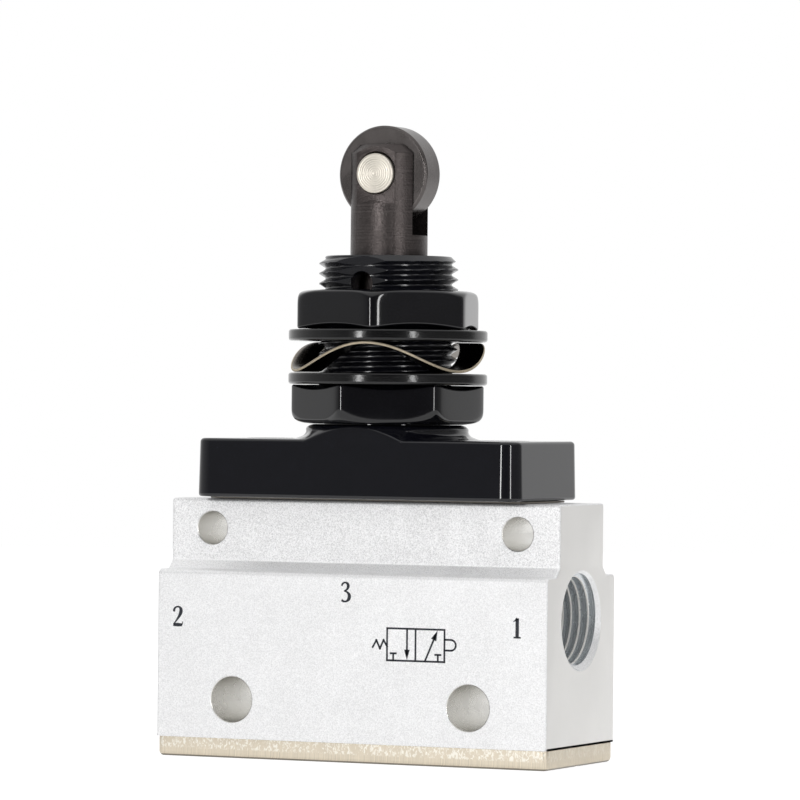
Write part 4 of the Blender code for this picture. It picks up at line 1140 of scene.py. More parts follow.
@dataclass(frozen=True)
class Screw:
    """A countersunk screw with a cross recess, in its place on the plane of symmetry."""

    x: float
    top_z: float
    length: float
    turn: Grid
    radius: float = 1.45
    head: float = 2.7
    rim: float = 0.2
    head_edge: float = 0.05
    recess: float = 1.25
    recess_depth: float = 1.0
    recess_width: float = 0.5
    recess_floor: float = 0.55
    recess_mouth: float = 1.9
    hole_play: float = 0.06
    columns: int = 48

    def profile(self, grow: float = 0.0, reach: float = 0.0) -> Grid:
        """The screw's own profile, head up with its top at 0, or that of its hole.

        Args:
            grow: How far the profile stands off the screw's.
            reach: How far it goes on above the head.

        Returns:
            The profile as (radius, height) rows.
        """
        head, shank, rim = self.head + grow, self.radius + grow, -self.rim - grow
        return eased([
            (0.0, reach, 0.0), (head, reach, 0.0 if reach else self.head_edge), (head, rim, 0.03),
            (shank, rim - (head - shank), 0.0), (shank, -self.length - grow, 0.0),
            (0.0, -self.length - grow, 0.0),
        ], steps=3)

    def hole(self, name: str) -> bpy.types.Object:
        """The cutter for the screw's hole."""
        return turned(name, self.profile(self.hole_play, OVERRUN), self.columns, turn=self.turn,
                      shift=(self.x, 0.0, self.top_z))

    def arm(self, reach_x: float, reach_y: float) -> bpy.types.Object:
        """The cutter for one arm of the recess, which narrows downwards.

        Args:
            reach_x: Half of its size along X where it meets the head's top.
            reach_y: Half of its size along Y there.

        Returns:
            The cutter.
        """
        low = np.array([[-reach_x, -reach_y], [reach_x, -reach_y],
                        [reach_x, reach_y], [-reach_x, reach_y]])
        floor = np.column_stack([low * self.recess_floor, np.full(4, -self.recess_depth)])
        mouth = np.column_stack([low * self.recess_mouth, np.full(4, OVERRUN)])
        flush = np.column_stack([low, np.zeros(4)])
        arm = Shell().grid(np.stack([floor, flush, mouth])).end(floor).end(mouth)
        return arm.make("recess_arm")

    def make(self, name: str) -> bpy.types.Object:
        """The screw itself: made upright at the origin, cut, and then put in its place.

        Args:
            name: The screw's name.

        Returns:
            The screw.
        """
        screw = turned(name, self.profile(), self.columns)
        half = self.recess_width / 2
        carve(screw, [self.arm(self.recess, half), self.arm(half, self.recess)])
        points = np.empty(len(screw.data.vertices) * 3)
        screw.data.vertices.foreach_get("co", points)
        points = points.reshape(-1, 3) @ self.turn.T + np.array([self.x, 0.0, self.top_z]) * MM
        screw.data.vertices.foreach_set("co", points.ravel())
        screw.data.update()
        return screw


BOTTOM_SCREWS = tuple(Screw(side * 18.25, 0.1, 7.0, DOWNWARDS) for side in (-1, 1))
CAP_SCREWS = tuple(Screw(side * 12.6, 31.5, 9.8, UPRIGHT) for side in (-1, 1))


@dataclass
class BodyBlock(SubAssembly):
    """The aluminium body with its bottom plate, screws and gasket."""

    length: float = 42.6
    depth: float = 16.9
    top_depth: float = 10.9
    base_z: float = 1.76
    ledge_z: float = 18.55
    top_z: float = 25.6
    edge: float = 0.3
    foot_edge: float = 0.03
    end_edge: float = 0.22
    ledge_rounding: float = 0.55
    ledge_slope: float = 0.85
    ledge_hollow: float = 0.2
    port_z: float = 14.13
    port_radius: float = 4.87
    port_drill: float = 4.25
    port_mouth: float = 4.99
    port_depth: float = 8.5
    port_pitch: float = 0.907
    port_thread: float = 0.56
    port_crest_x: float = 20.12
    port_flank: Pair = (0.07, 0.37)
    port_ease: Pair = (0.03, 0.06)
    port_cone: float = 1.2
    port_tip: float = 0.6
    plate_length: float = 42.58
    plate_depth: float = 16.5
    plate_corner: float = 0.6
    plate_base: float = -0.2
    plate_top: float = 1.75
    plate_rounding: float = 0.5
    plate_rim: float = 0.03
    passage_radius: float = 1.6
    passage_start: float = 2.1
    passage_shift: float = 2.2
    lower_hole: Triple = (12.94, 5.67, 2.275)
    upper_hole: Triple = (16.75, 22.66, 1.65)
    hole_chamfer: float = 0.10
    bore_steps: tuple[Pair, ...] = ((4.4, 18.6), (3.8, 14.63), (2.3, 13.23), (2.8, 13.63))
    chamber_radius: float = 4.2

    def section(self) -> Outline:
        """The extruded section: a wide foot, a ledge, a slope, and a narrower top.

        Returns:
            The section, symmetric about its upright axis.
        """
        foot, top, edge, low = self.depth / 2, self.top_depth / 2, self.edge, self.foot_edge
        ease, hollow = self.ledge_rounding, self.ledge_hollow
        reach = self.ledge_slope + hollow * math.tan(math.radians(22.5))
        right = [
            arc((foot - low, self.base_z + low), low, -90, 0, 5),
            arc((foot - ease, self.ledge_z - ease), ease, 0, 90, 9),
            arc((top + reach, self.ledge_z + hollow), hollow, 270, 225, 4),
            arc((top + hollow, self.ledge_z + reach), hollow, 225, 180, 4),
            arc((top - edge, self.top_z - edge), edge, 0, 90, 5),
        ]
        left = [(points[::-1] * (-1, 1), ways[::-1] * (-1, 1)) for points, ways in right[::-1]]
        return Outline.of_arcs(right + left)

    def blank(self) -> bpy.types.Object:
        """The section carried along X, drawn in by a quarter round at each end.

        Returns:
            The plain body.
        """
        bend = np.radians(np.linspace(0.0, 90.0, 5))
        drawn = self.end_edge * (1.0 - np.cos(bend))
        along = self.length / 2 - self.end_edge * (1.0 - np.sin(bend))
        right = np.column_stack([drawn, along])
        inner = np.array([[0.0, self.length / 2 - self.end_edge - SUPPORT]])
        right = np.concatenate([inner, right])
        rows = np.concatenate([right[::-1] * (1, -1), right])
        grid = self.section().loft(rows)
        shell = Shell().grid(grid).end(grid[0]).end(grid[-1])
        return shell.make("body_block_fine", SECTION)

    def threaded_port(self, side: int) -> list[bpy.types.Object]:
        """A port's cutters: its thread, the cone of its mouth, and its drilled hole.

        Args:
            side: 1 for the port at +X, -1 for the one at -X.

        Returns:
            The cutters.
        """
        pitch, major, minor = self.port_pitch, self.port_radius, self.port_radius - self.port_thread
        crest, root = (share * pitch for share in self.port_flank)
        soft, round_root = self.port_ease
        form = eased([
            (major, -0.50 * pitch, 0.0), (major, -root, round_root), (minor, -crest, soft),
            (minor, crest, soft), (major, root, round_root), (major, 0.50 * pitch, 0.0),
        ], steps=2)[:-1]
        start = self.port_crest_x - self.length / 2 - 0.25 * pitch
        grid = helical(start, pitch, np.column_stack([form[:, 1] / pitch, form[:, 0]]),
                       1.0 - self.port_depth, OVERRUN)
        place = ALONG_X if side > 0 else AGAINST_X
        shift = (side * self.length / 2, 0.0, self.port_z)
        mouth, deep, drilled = self.port_mouth, self.port_cone, self.port_drill
        cone = [(0.0, OVERRUN), (mouth + OVERRUN, OVERRUN), (mouth - deep, -deep), (0.0, -deep)]
        hole = [(0.0, OVERRUN), (drilled, OVERRUN), (drilled, -self.port_depth),
                (0.0, -self.port_depth - drilled * self.port_tip)]
        return [Shell().grid(grid, wrap_columns=False).make("port_thread", place, shift),
                turned("port_mouth", np.array(cone), 144, turn=place, shift=shift),
                turned("port_hole", np.array(hole), turn=place, shift=shift)]

    def inner_bore(self) -> bpy.types.Object:
        """The cutter for the stepped bore: gland bore, chamber, seat with its lip, chamber.

        Returns:
            The cutter.
        """
        steps = (*self.bore_steps, (self.chamber_radius, self.base_z - OVERRUN))
        return stepped("inner_bore", steps, self.top_z + OVERRUN, 64)

    def cross_holes(self, side: int) -> list[bpy.types.Object]:
        """The cutters for one side's air passage and its two mounting holes.

        Args:
            side: 1 for the side at +X, -1 for the one at -X.

        Returns:
            The cutters.
        """
        inner, outer = self.passage_start, self.length / 2 - self.port_depth + OVERRUN
        passage = drill("passage", self.passage_radius, (outer - inner) / 2 - OVERRUN, 0.0,
                        ALONG_X, (side * (inner + outer) / 2, 0.0,
                                  self.port_z - side * self.passage_shift), 40)
        holes = [drill(name, radius, depth / 2, self.hole_chamfer, ALONG_Y, (side * x, 0.0, z),
                       steps)
                 for name, (x, z, radius), depth, steps in (
                     ("lower_hole", self.lower_hole, self.depth, 72),
                     ("upper_hole", self.upper_hole, self.top_depth, 64))]
        return [passage, *holes]

    def block(self) -> bpy.types.Object:
        """The body with its ports, passages, mounting holes, bore and screw holes.

        Returns:
            The body.
        """
        tools = [self.inner_bore()]
        for side, below, above in zip((-1, 1), BOTTOM_SCREWS, CAP_SCREWS):
            tools += self.cross_holes(side)
            tools += [below.hole("bottom_hole"), above.hole("cap_hole")]
            tools += self.threaded_port(side)
        return carve(self.blank(), tools)

    def plate(self) -> bpy.types.Object:
        """The bottom plate, its lower rim well rounded and its upper rim barely.

        Returns:
            The plate with its screw holes.
        """
        rows = np.concatenate(rims((self.plate_base, self.plate_rounding),
                                   (self.plate_top, self.plate_rim), (7, 4)))
        grid = Outline.plate(self.plate_length, self.plate_depth, self.plate_corner).loft(rows)
        plate = Shell().grid(grid).end(grid[0]).end(grid[-1]).make("bottom_plate_fine")
        return carve(plate, [screw.hole("plate_hole") for screw in BOTTOM_SCREWS])

    def build(self) -> None:
        """Build and dress the body, its plate, screws and gasket."""
        self.keep(self.block(), Finishes.ALUMINIUM, "valve_body", "aluminium", "body_block")
        self.keep(self.plate(), Finishes.PLATE, "valve_body", "plated_steel", "bottom_plate")
        self.keep_screws("bottom_screw", BOTTOM_SCREWS)
        self.dress_nodes(Finishes.GASKET, "bottom_gasket")


@dataclass
class PrintedMarks(SubAssembly):
    """Plain port numbers and the standard drawing of a three-way valve, printed on the front."""

    face_y: float = -8.45
    proud: float = 0.012
    number_height: float = 2.0
    number_weight: float = 1.4
    line: float = 0.095
    arrow_widths: Pair = (0.30, 0.01)

    def stroke(self, shell: Shell, path: Grid, half_width: Grid | float) -> None:
        """Add an inked line: a thin flat bar whose sides stand off its path by the half width.

        Args:
            shell: The shell that gets the line.
            path: The path as (x, z) rows.
            half_width: Half of the line's width, the same all along or one value a row.
        """
        run = unit(np.gradient(path, axis=0))
        side = np.column_stack([-run[:, 1], run[:, 0]])
        half = np.broadcast_to(np.asarray(half_width, float), (len(path),))[:, None]
        edges = (path - side * half, path + side * half)
        front, back = self.face_y - self.proud, self.face_y + self.proud
        ring = [np.column_stack([edge[:, 0], np.full(len(path), level), edge[:, 1]])
                for edge, level in ((edges[0], front), (edges[1], front),
                                    (edges[1], back), (edges[0], back))]
        grid = np.stack(ring, axis=1)
        shell.grid(grid).end(grid[0]).end(grid[-1])

    def number(self, shell: Shell, digit: int, x: float, z: float) -> None:
        """Add a port number, centred on a place, drawn with thick and thin strokes.

        Args:
            shell: The shell that gets it.
            digit: 1, 2 or 3.
            x: Where its middle is along X.
            z: Where its middle is in height.
        """
        strokes = {
            1: [([(.31, .03, .065), (.31, .5, .065), (.31, .97, .065)], 3),
                ([(.10, .80, .012), (.22, .87, .03), (.31, .96, .05)], 8),
                ([(.12, .03, .028), (.31, .03, .03), (.50, .03, .028)], 3)],
            2: [([(.07, .72, .045), (.10, .86, .04), (.21, .955, .03), (.36, .955, .035),
                  (.46, .85, .06), (.46, .70, .068), (.37, .50, .05), (.22, .29, .03),
                  (.06, .08, .022)], 40),
                ([(.04, .065, .05), (.30, .065, .065), (.53, .065, .05)], 3),
                ([(.51, .06, .03), (.55, .13, .02), (.57, .23, .012)], 4)],
            3: [([(.06, .80, .03), (.13, .92, .035), (.26, .97, .03), (.39, .90, .05),
                  (.42, .77, .055), (.35, .63, .035), (.20, .55, .02)], 30),
                ([(.20, .55, .02), (.37, .49, .035), (.48, .35, .06), (.46, .17, .062),
                  (.34, .05, .035), (.18, .035, .035), (.06, .10, .045)], 30)],
        }
        place = np.array([x - 0.30 * self.number_height, z - 0.5 * self.number_height])
        for knots, count in strokes[digit]:
            path = smooth_path(np.array(knots), count) * self.number_height
            self.stroke(shell, path[:, :2] + place, path[:, 2] * self.number_weight)

    def line_to(self, shell: Shell, *points: Pair) -> None:
        """Add straight thin lines from point to point, each a little longer than its run."""
        for first, last in zip(points, points[1:]):
            ends = np.array([first, last], float)
            run = unit(ends[1] - ends[0]) * self.line
            self.stroke(shell, np.array([ends[0] - run, ends[1] + run]), self.line)

    def arrow(self, shell: Shell, tail: Pair, head: Pair) -> None:
        """Add a thin line with a solid arrow head."""
        ends = np.array([tail, head], float)
        run = unit(ends[1] - ends[0])
        self.line_to(shell, tail, tuple(ends[1] - run * 0.5))
        self.stroke(shell, np.array([ends[1] - run, ends[1]]), np.array(self.arrow_widths))

    def drawing(self, shell: Shell) -> None:
        """Add the valve's drawing: two boxes, flow arrows, shut ports, spring and plunger.

        Args:
            shell: The shell that gets it.
        """
        left, middle, right, low, high = 4.18, 7.26, 10.38, 10.10, 13.25
        self.line_to(shell, (left, low), (left, high), (right, high), (right, low), (left, low))
        self.line_to(shell, (middle, low), (middle, high))
        self.arrow(shell, (6.34, high), (6.34, low + 0.1))
        self.arrow(shell, (8.28, low), (9.62, high - 0.1))
        self.line_to(shell, (4.86, low), (4.86, 10.80))
        self.line_to(shell, (4.58, 10.80), (5.14, 10.80))
        self.line_to(shell, (9.68, low), (9.68, 10.78))
        self.line_to(shell, (9.40, 10.78), (9.96, 10.78))
        self.line_to(shell, (left, 11.46), (3.80, 12.08), (3.41, 11.23), (3.02, 12.05),
                     (2.62, 11.35))
        self.line_to(shell, (right, 12.29), (11.10, 12.29))
        bend = np.radians(np.linspace(90.0, -90.0, 16))
        nose = np.column_stack([11.08 + 0.52 * np.cos(bend), 11.76 + 0.52 * np.sin(bend)])
        self.stroke(shell, nose, self.line)
        self.line_to(shell, (11.10, 11.24), (right, 11.24))

    def build(self) -> None:
        """Build and dress the marks as one thin layer of ink."""
        shell = Shell()
        self.number(shell, 2, -18.99, 13.83)
        self.number(shell, 3, -0.35, 16.69)
        self.number(shell, 1, 18.11, 13.65)
        self.drawing(shell)
        marks = shell.make("printed_marks")
        self.keep(marks, Finishes.INK, "valve_body", "black_steel")


@dataclass
class CapAndCollar(SubAssembly):
    """The black cap with its neck and threaded collar, its screws, gasket and wiper."""

    length: float = 35.3
    depth: float = 16.3
    base_z: float = 25.85
    top_z: float = 31.7
    corner: float = 1.8
    draft: float = 0.13
    top_edge: float = 0.4
    base_edge: float = 0.3
    neck_top: float = 33.2
    neck_knots: tuple[Triple, ...] = (
        (31.0, 9.90, 9.85), (31.35, 9.88, 9.75), (31.6, 9.65, 9.56), (31.8, 9.10, 9.32),
        (32.05, 8.45, 9.02), (32.3, 8.20, 8.73), (32.5, 8.14, 8.50), (32.66, 8.15, 8.33),
        (32.79, 8.13, 8.19), (32.9, 8.06, 8.06), (33.02, 7.92, 7.92), (33.12, 7.73, 7.73),
        (33.2, 7.45, 7.45))
    neck_columns: int = 240
    neck_ahead: Pair = (0.60, 0.90)
    neck_ease: float = 0.07
    face_y: float = 8.01
    crest_radius: float = 6.96
    thread_depth: float = 0.62
    crest_share: float = 0.10
    root_share: float = 0.16
    relief: float = 0.8
    crest_z: float = 47.42
    collar_top: float = 50.0
    collar_chamfer: float = 0.7
    flat_y: float = 6.36
    exhaust_z: float = 47.15
    exhaust_radius: float = 1.2
    exhaust_chamfer: float = 0.06
    flat_base: float = 43.5
    bore_steps: tuple[Pair, ...] = ((4.9, 48.85), (4.45, 45.3), (4.9, 40.0))
    chamber_radius: float = 5.5

    def block(self) -> bpy.types.Object:
        """The cap's block: its outline drawn in by the draft and by quarter rounds at the rims.

        Returns:
            The block.
        """
        low, high = self.base_edge, self.top_edge
        under, over = rims((self.base_z, low), (self.top_z, high), (8, 8))
        between = np.array([[0.0, self.base_z + low + SUPPORT], [0.0, self.top_z - high - SUPPORT]])
        rows = np.concatenate([under, between, over])
        rows[:, 0] += (rows[:, 1] - self.base_z) / (self.top_z - self.base_z) * self.draft
        grid = Outline.plate(self.length, self.depth, self.corner, 12).loft(rows)
        return Shell().grid(grid).end(grid[0]).end(grid[-1]).make("cap_collar_fine")

    def neck_and_thread(self) -> bpy.types.Object:
        """The neck and collar as one grid of radius over turn and height.

        The neck's radius is a smooth curve through knots that flares at its foot, more evenly in
        front than at the sides, eased against the distance to the cap's front and rear planes.
        Up the collar it is the crest radius less the thread's depth times one minus the wave,
        whose place is the height less the share of a turn, and never more than the mouth's cone.

        Returns:
            The closed piece.
        """
        turn = np.linspace(0.0, 1.0, self.neck_columns, endpoint=False)[None]
        ways = np.stack([np.sin(TAU * turn), -np.cos(TAU * turn)])
        curve = smooth_path(np.array(self.neck_knots), 49)
        first, last = self.neck_ahead
        ahead = np.clip((np.abs(ways[1]) - first) / (last - first), 0.0, 1.0)
        ahead = ahead ** 2 * (3.0 - 2.0 * ahead)
        plane = self.face_y / np.maximum(np.abs(ways[1]), 0.05)
        flared = curve[:, 1:2] * (1.0 - ahead) + curve[:, 2:] * ahead
        neck = soft_min(flared, plane, self.neck_ease)
        heights = np.linspace(self.neck_top, self.collar_top, 337)[:, None]
        wave = thread_wave(heights - self.crest_z - turn, self.crest_share, self.root_share)
        full = self.crest_radius - self.thread_depth * (1.0 - wave)
        cone = self.crest_radius - self.collar_chamfer + (self.collar_top - heights)
        groove = self.crest_radius - self.thread_depth + np.clip(
            heights - self.neck_top - self.relief, 0.0, None)
        collar = np.minimum(np.minimum(full, cone), groove)
        radius = np.concatenate([neck, collar])
        level = np.broadcast_to(np.concatenate([curve[:, :1], heights]), radius.shape)
        grid = np.stack([radius * ways[0], radius * ways[1], level], axis=2)
        return Shell().grid(grid).end(grid[0]).end(grid[-1]).make("neck_and_thread")

    def bore(self) -> bpy.types.Object:
        """The cutter for the bore: plunger chamber, bush bore, exhaust ring, wiper seat.

        Returns:
            The cutter.
        """
        steps = (*self.bore_steps, (self.chamber_radius, self.base_z - OVERRUN))
        return stepped("collar_bore", steps, self.collar_top + OVERRUN, 72)

    def cap(self) -> bpy.types.Object:
        """The cap, neck and collar in one, with bore, flats, exhaust hole and screw holes.

        Returns:
            The cap.
        """
        cap = carve(self.block(), [self.neck_and_thread()], "UNION")
        tools = [self.bore()]
        far = self.crest_radius + OVERRUN
        for side, screw in zip((-1, 1), CAP_SCREWS):
            near, out = sorted((side * self.flat_y, side * far))
            tools.append(box("collar_flat", (-far, near, self.flat_base),
                             (far, out, self.collar_top + OVERRUN)))
            tools.append(screw.hole("cap_hole"))
        tools.append(drill("exhaust_hole", self.exhaust_radius, self.flat_y, self.exhaust_chamfer,
                           ALONG_Y, (0.0, 0.0, self.exhaust_z), 48))
        return carve(cap, tools)

    def wiper(self) -> bpy.types.Object:
        """The rubber wiper ring, its lip against the stem and its rims soft."""
        profile = eased([(3.89, 49.9, 0.06), (4.85, 49.9, 0.12), (4.85, 48.9, 0.1),
                         (4.4, 48.9, 0.05), (3.89, 49.4, 0.05)], closed=True, steps=3)
        return turned("wiper_ring_fine", profile, 72, closed=True)

    def build(self) -> None:
        """Build and dress the cap, its screws and its wiper."""
        self.keep(self.cap(), Finishes.GLOSS_BLACK, "valve_body", "black_casting", "cap_collar")
        self.keep_screws("cap_screw", CAP_SCREWS)
        self.keep(self.wiper(), Finishes.RUBBER, "valve_body", "rubber", "wiper_ring")
        self.dress_nodes(Finishes.GASKET, "cap_gasket")
        self.dress_nodes(Finishes.BRASS, "guide_bush")


@dataclass
class PanelHardware(SubAssembly):
    """The two nuts, two flat washers and the wave washer that clamp a panel."""

    across_flats: float = 17.0
    nut_height: float = 3.88
    nut_rounding: float = 1.65
    nut_bore: float = 7.0
    nut_edge: float = 0.22
    nut_rim: float = 0.45
    nut_dish: float = 0.36
    nut_seat: float = 7.9
    nut_ease: float = 0.26
    nut_columns: int = 432
    bore_chamfer: float = 0.35
    lower_nut: Triple = (33.25, -4.8, 50.0)
    upper_nut: Triple = (42.70, 14.9, 33.0)
    lower_washer_z: float = 37.18
    upper_washer_z: float = 41.51
    corner_radius: float = 9.865
    washer_radius: float = 9.95
    washer_bore: float = 7.10
    washer_thickness: float = 1.14
    washer_edge: float = 0.26
    wave_low: float = 38.37
    wave_height: float = 3.09
    wave_thickness: float = 0.29
    wave_inner: float = 7.15
    wave_outer: float = 9.7
    wave_crest: float = 11.8

    def nut(self, name: str, place: Triple, rounded_top: bool) -> bpy.types.Object:
        """A hexagon nut as one closed grid of radius over turn and a path round its section.

        The hexagon's radius is the half width over a power mean of the six side cosines, which
        rounds its corners a little. The outer wall is the soft smaller one of that and of the
        turned blank, whose end is a quarter round. The path then runs over the top face, down
        the bore with a chamfer at each mouth, and back under the lower face. Outside its flat
        seat that face falls away to the edge, by a share of how far the edge is inside a corner.

        Args:
            name: The nut's name.
            place: The height of its underside, where one of its corners points, in degrees from
                -Y towards +X, and the power of the mean, so how sharp its corners are.
            rounded_top: Whether its upper end is the well rounded one.

        Returns:
            The nut.
        """
        base, corner, power = place
        turn = np.linspace(0.0, TAU, self.nut_columns, endpoint=False)[None]
        sides = np.radians(corner + 30.0 + 60.0 * np.arange(6))[:, None]
        facing = np.maximum(np.cos(turn - sides), 0.0) ** power
        hexagon = (self.across_flats / 2) / facing.sum(axis=0)[None] ** (1.0 / power)
        height, big, small = self.nut_height, self.nut_rounding, self.nut_edge
        bend = np.radians(np.linspace(0.0, 90.0, 22))
        rise = np.unique(np.concatenate([
            small * (1 - np.cos(bend[::3])), np.linspace(small, height - big, 16),
            height - big * (1 - np.sin(bend))]))[:, None]
        near_end = np.clip((rise - (height - big)) / big, 0.0, 1.0)
        blank = self.corner_radius - big * (1.0 - np.sqrt(1.0 - near_end ** 2))
        near_foot = np.clip((small - rise) / small, 0.0, 1.0)
        near_rim = np.clip((rise - (height - self.nut_rim)) / self.nut_rim, 0.0, 1.0)
        wall = (soft_min(hexagon, blank, self.nut_ease)
                - small * (1.0 - np.sqrt(1.0 - near_foot ** 2))
                - self.nut_rim * (1.0 - np.sqrt(1.0 - near_rim ** 2)))
        sink = self.nut_dish * (wall[0].max() - wall[:1])
        flare = self.nut_bore + self.bore_chamfer
        share = np.linspace(0.0, 1.0, 5)[1:, None]
        over = wall[-1:] * (1 - share) + flare * share
        inner = np.array([[self.nut_bore], [self.nut_bore], [flare]])
        inner = np.broadcast_to(inner, (3, turn.size))
        share = np.linspace(0.0, 1.0, 4)[:-1, None]
        under = self.nut_seat * (1 - share) + wall[:1] * share
        radius = np.concatenate([wall, over, inner, under])
        mouths = [height - self.bore_chamfer, self.bore_chamfer, 0.0]
        path = np.concatenate([np.full(4, height), mouths])[:, None]
        levels = np.concatenate([rise + sink * (1 - rise / height),
                                 np.broadcast_to(path, (7, turn.size)), sink * share])
        if not rounded_top:
            levels = height - levels
        grid = np.stack([radius * np.sin(turn), -radius * np.cos(turn), base + levels], axis=2)
        return Shell().grid(grid, wrap_rows=True).make(name)

    def washer(self, name: str, base: float) -> bpy.types.Object:
        """A flat washer whose rims are rounded.

        Args:
            name: The washer's name.
            base: The height of its underside.

        Returns:
            The washer.
        """
        top, edge = base + self.washer_thickness, self.washer_edge
        profile = eased([(self.washer_bore, top, 0.1), (self.washer_radius, top, edge),
                         (self.washer_radius, base, edge), (self.washer_bore, base, 0.1)],
                        closed=True)
        return turned(name, profile, 144, closed=True)

    def wave(self) -> bpy.types.Object:
        """The wave washer: a ring with round edges whose height follows a cosine of three waves.

        Returns:
            The washer.
        """
        half = self.wave_thickness / 2
        profile = eased([(self.wave_inner, half, 0.08), (self.wave_outer, half, 0.13),
                         (self.wave_outer, -half, 0.13), (self.wave_inner, -half, 0.08)],
                        closed=True)
        grid = revolve(profile, 240)
        turn = np.arctan2(grid[..., 0], -grid[..., 1]) - math.radians(self.wave_crest)
        swing = (self.wave_height - self.wave_thickness) / 2
        grid[..., 2] += self.wave_low + self.wave_height / 2 + swing * np.cos(3 * turn)
        return Shell().grid(grid, wrap_rows=True).make("wave_washer_fine")

    def build(self) -> None:
        """Build and dress the nuts and washers."""
        lower = self.nut("lower_panel_nut_fine", self.lower_nut, rounded_top=False)
        upper = self.nut("upper_panel_nut_fine", self.upper_nut, rounded_top=True)
        self.keep(lower, Finishes.NUT_BLACK, "valve_body", "black_casting", "lower_panel_nut")
        self.keep(upper, Finishes.NUT_BLACK, "upper_nut", "black_casting", "upper_panel_nut")
        below = self.washer("lower_washer_fine", self.lower_washer_z)
        above = self.washer("upper_washer_fine", self.upper_washer_z)
        self.keep(below, Finishes.SATIN_BLACK, "valve_body", "black_steel", "lower_washer")
        self.keep(above, Finishes.SATIN_BLACK, "upper_washer", "black_steel", "upper_washer")
        self.keep(self.wave(), Finishes.WAVE, "valve_body", "spring_steel", "wave_washer")


@dataclass
class Actuator(SubAssembly):
    """The forked plunger with its roller and pin."""

    stem_radius: float = 3.86
    fork_top: float = 61.14
    chamfer: float = 0.85
    slot_width: float = 3.65
    slot_z: float = 52.1
    flat_y: float = 3.25
    flat_z: float = 55.2
    foot_z: float = 33.5
    flange: Triple = (5.2, 37.5, 39.95)
    flange_flat_y: float = 4.3
    spring_bore: Triple = (3.0, 43.0, 44.8)
    pin_radius: float = 2.0
    pin_half: float = 3.61
    pin_z: float = 58.2
    roller_radius: float = 4.85
    roller_thickness: float = 3.35
    roller_chamfer: float = 0.22
    roller_bore: float = 2.06
    pin_play: float = 0.10
    pin_sag: float = 0.06
    ring_pitch: float = 0.22
    ring_depth: float = 0.006
    pin_crown: float = 0.018
    pin_face: float = 0.22
    pin_rim: float = 0.24
    pin_edge: float = 0.14

    def plunger(self) -> bpy.types.Object:
        """The plunger: turned, then slotted, flatted and cross drilled.

        Returns:
            The plunger.
        """
        radius, top, foot = self.stem_radius, self.fork_top, self.foot_z
        flange, under, over = self.flange
        bore, shoulder, end = self.spring_bore
        profile = eased([
            (0.0, top, 0.0), (radius - self.chamfer, top, 0.08),
            (radius, top - self.chamfer, 0.10), (radius, over, 0.0), (flange, over, 0.1),
            (flange, under, 0.1), (radius, under, 0.0), (radius, foot, 0.1), (bore, foot, 0.1),
            (bore, shoulder, 0.0), (0.0, end, 0.0)], steps=4)
        stem = turned("plunger_fine", profile, 96)
        far, above, half = radius + OVERRUN, top + OVERRUN, self.slot_width / 2
        tools = [box("fork_slot", (-far, -half, self.slot_z), (far, half, above))]
        for side in (-1, 1):
            near, out = sorted((side * self.flat_y, side * far))
            tools.append(box("fork_flat", (-far, near, self.flat_z), (far, out, above)))
            near, out = sorted((side * self.flange_flat_y, side * (flange + OVERRUN)))
            tools.append(box("flange_flat", (-flange - 0.1, near, under - 0.05),
                             (flange + 0.1, out, over + 0.05)))
        tools.append(drill("pin_hole", self.pin_radius + self.pin_play, self.flat_y, 0.06,
                           ALONG_Y, (0.0, 0.0, self.pin_z + self.pin_sag), 72))
        return carve(stem, tools)

    def roller(self) -> bpy.types.Object:
        """The roller: a turned ring with chamfered rims.

        Returns:
            The roller.
        """
        half, outer, cut = self.roller_thickness / 2, self.roller_radius, self.roller_chamfer
        side = [(self.roller_bore, half, 0.08), (outer - cut, half, 0.05),
                (outer, half - cut, 0.05)]
        other = [(r, -z, ease) for r, z, ease in reversed(side)]
        profile = eased(side + other, closed=True, steps=5)
        return turned("roller_fine", profile, 144, closed=True, turn=ALONG_Y,
                      shift=(0.0, 0.0, self.pin_z))

    def pin(self) -> bpy.types.Object:
        """The pin, whose faced and slightly crowned ends carry shallow rings left by the tool.

        The rings' depth is a cosine of the radius, and the crown falls with its square.

        Returns:
            The pin.
        """
        radius, half = self.pin_radius, self.pin_half
        rings = np.linspace(0.0, radius - self.pin_face, 56)
        depth = (self.ring_depth * np.cos(rings * TAU / self.ring_pitch)
                 + self.pin_crown * (1.0 - (rings / radius) ** 2))
        face = np.column_stack([rings, half - 0.03 + depth])
        rim = eased([(radius - self.pin_rim, half - 0.02, 0.0),
                     (radius, half - 0.02, self.pin_edge), (radius, 0.0, 0.0)], steps=5)
        upper = np.concatenate([face, rim[1:-1]])
        profile = np.concatenate([upper, upper[::-1] * (1, -1)])
        return turned("roller_pin_fine", profile, 96, turn=ALONG_Y, shift=(0.0, 0.0, self.pin_z))

    def build(self) -> None:
        """Build and dress the plunger, roller and pin."""
        self.keep(self.plunger(), Finishes.STEM, "plunger", "oxide_steel", "plunger")
        self.keep(self.roller(), Finishes.ROLLER, "roller", "oxide_steel", "roller")
        self.keep(self.pin(), Finishes.PIN, "plunger", "bright_steel", "roller_pin")


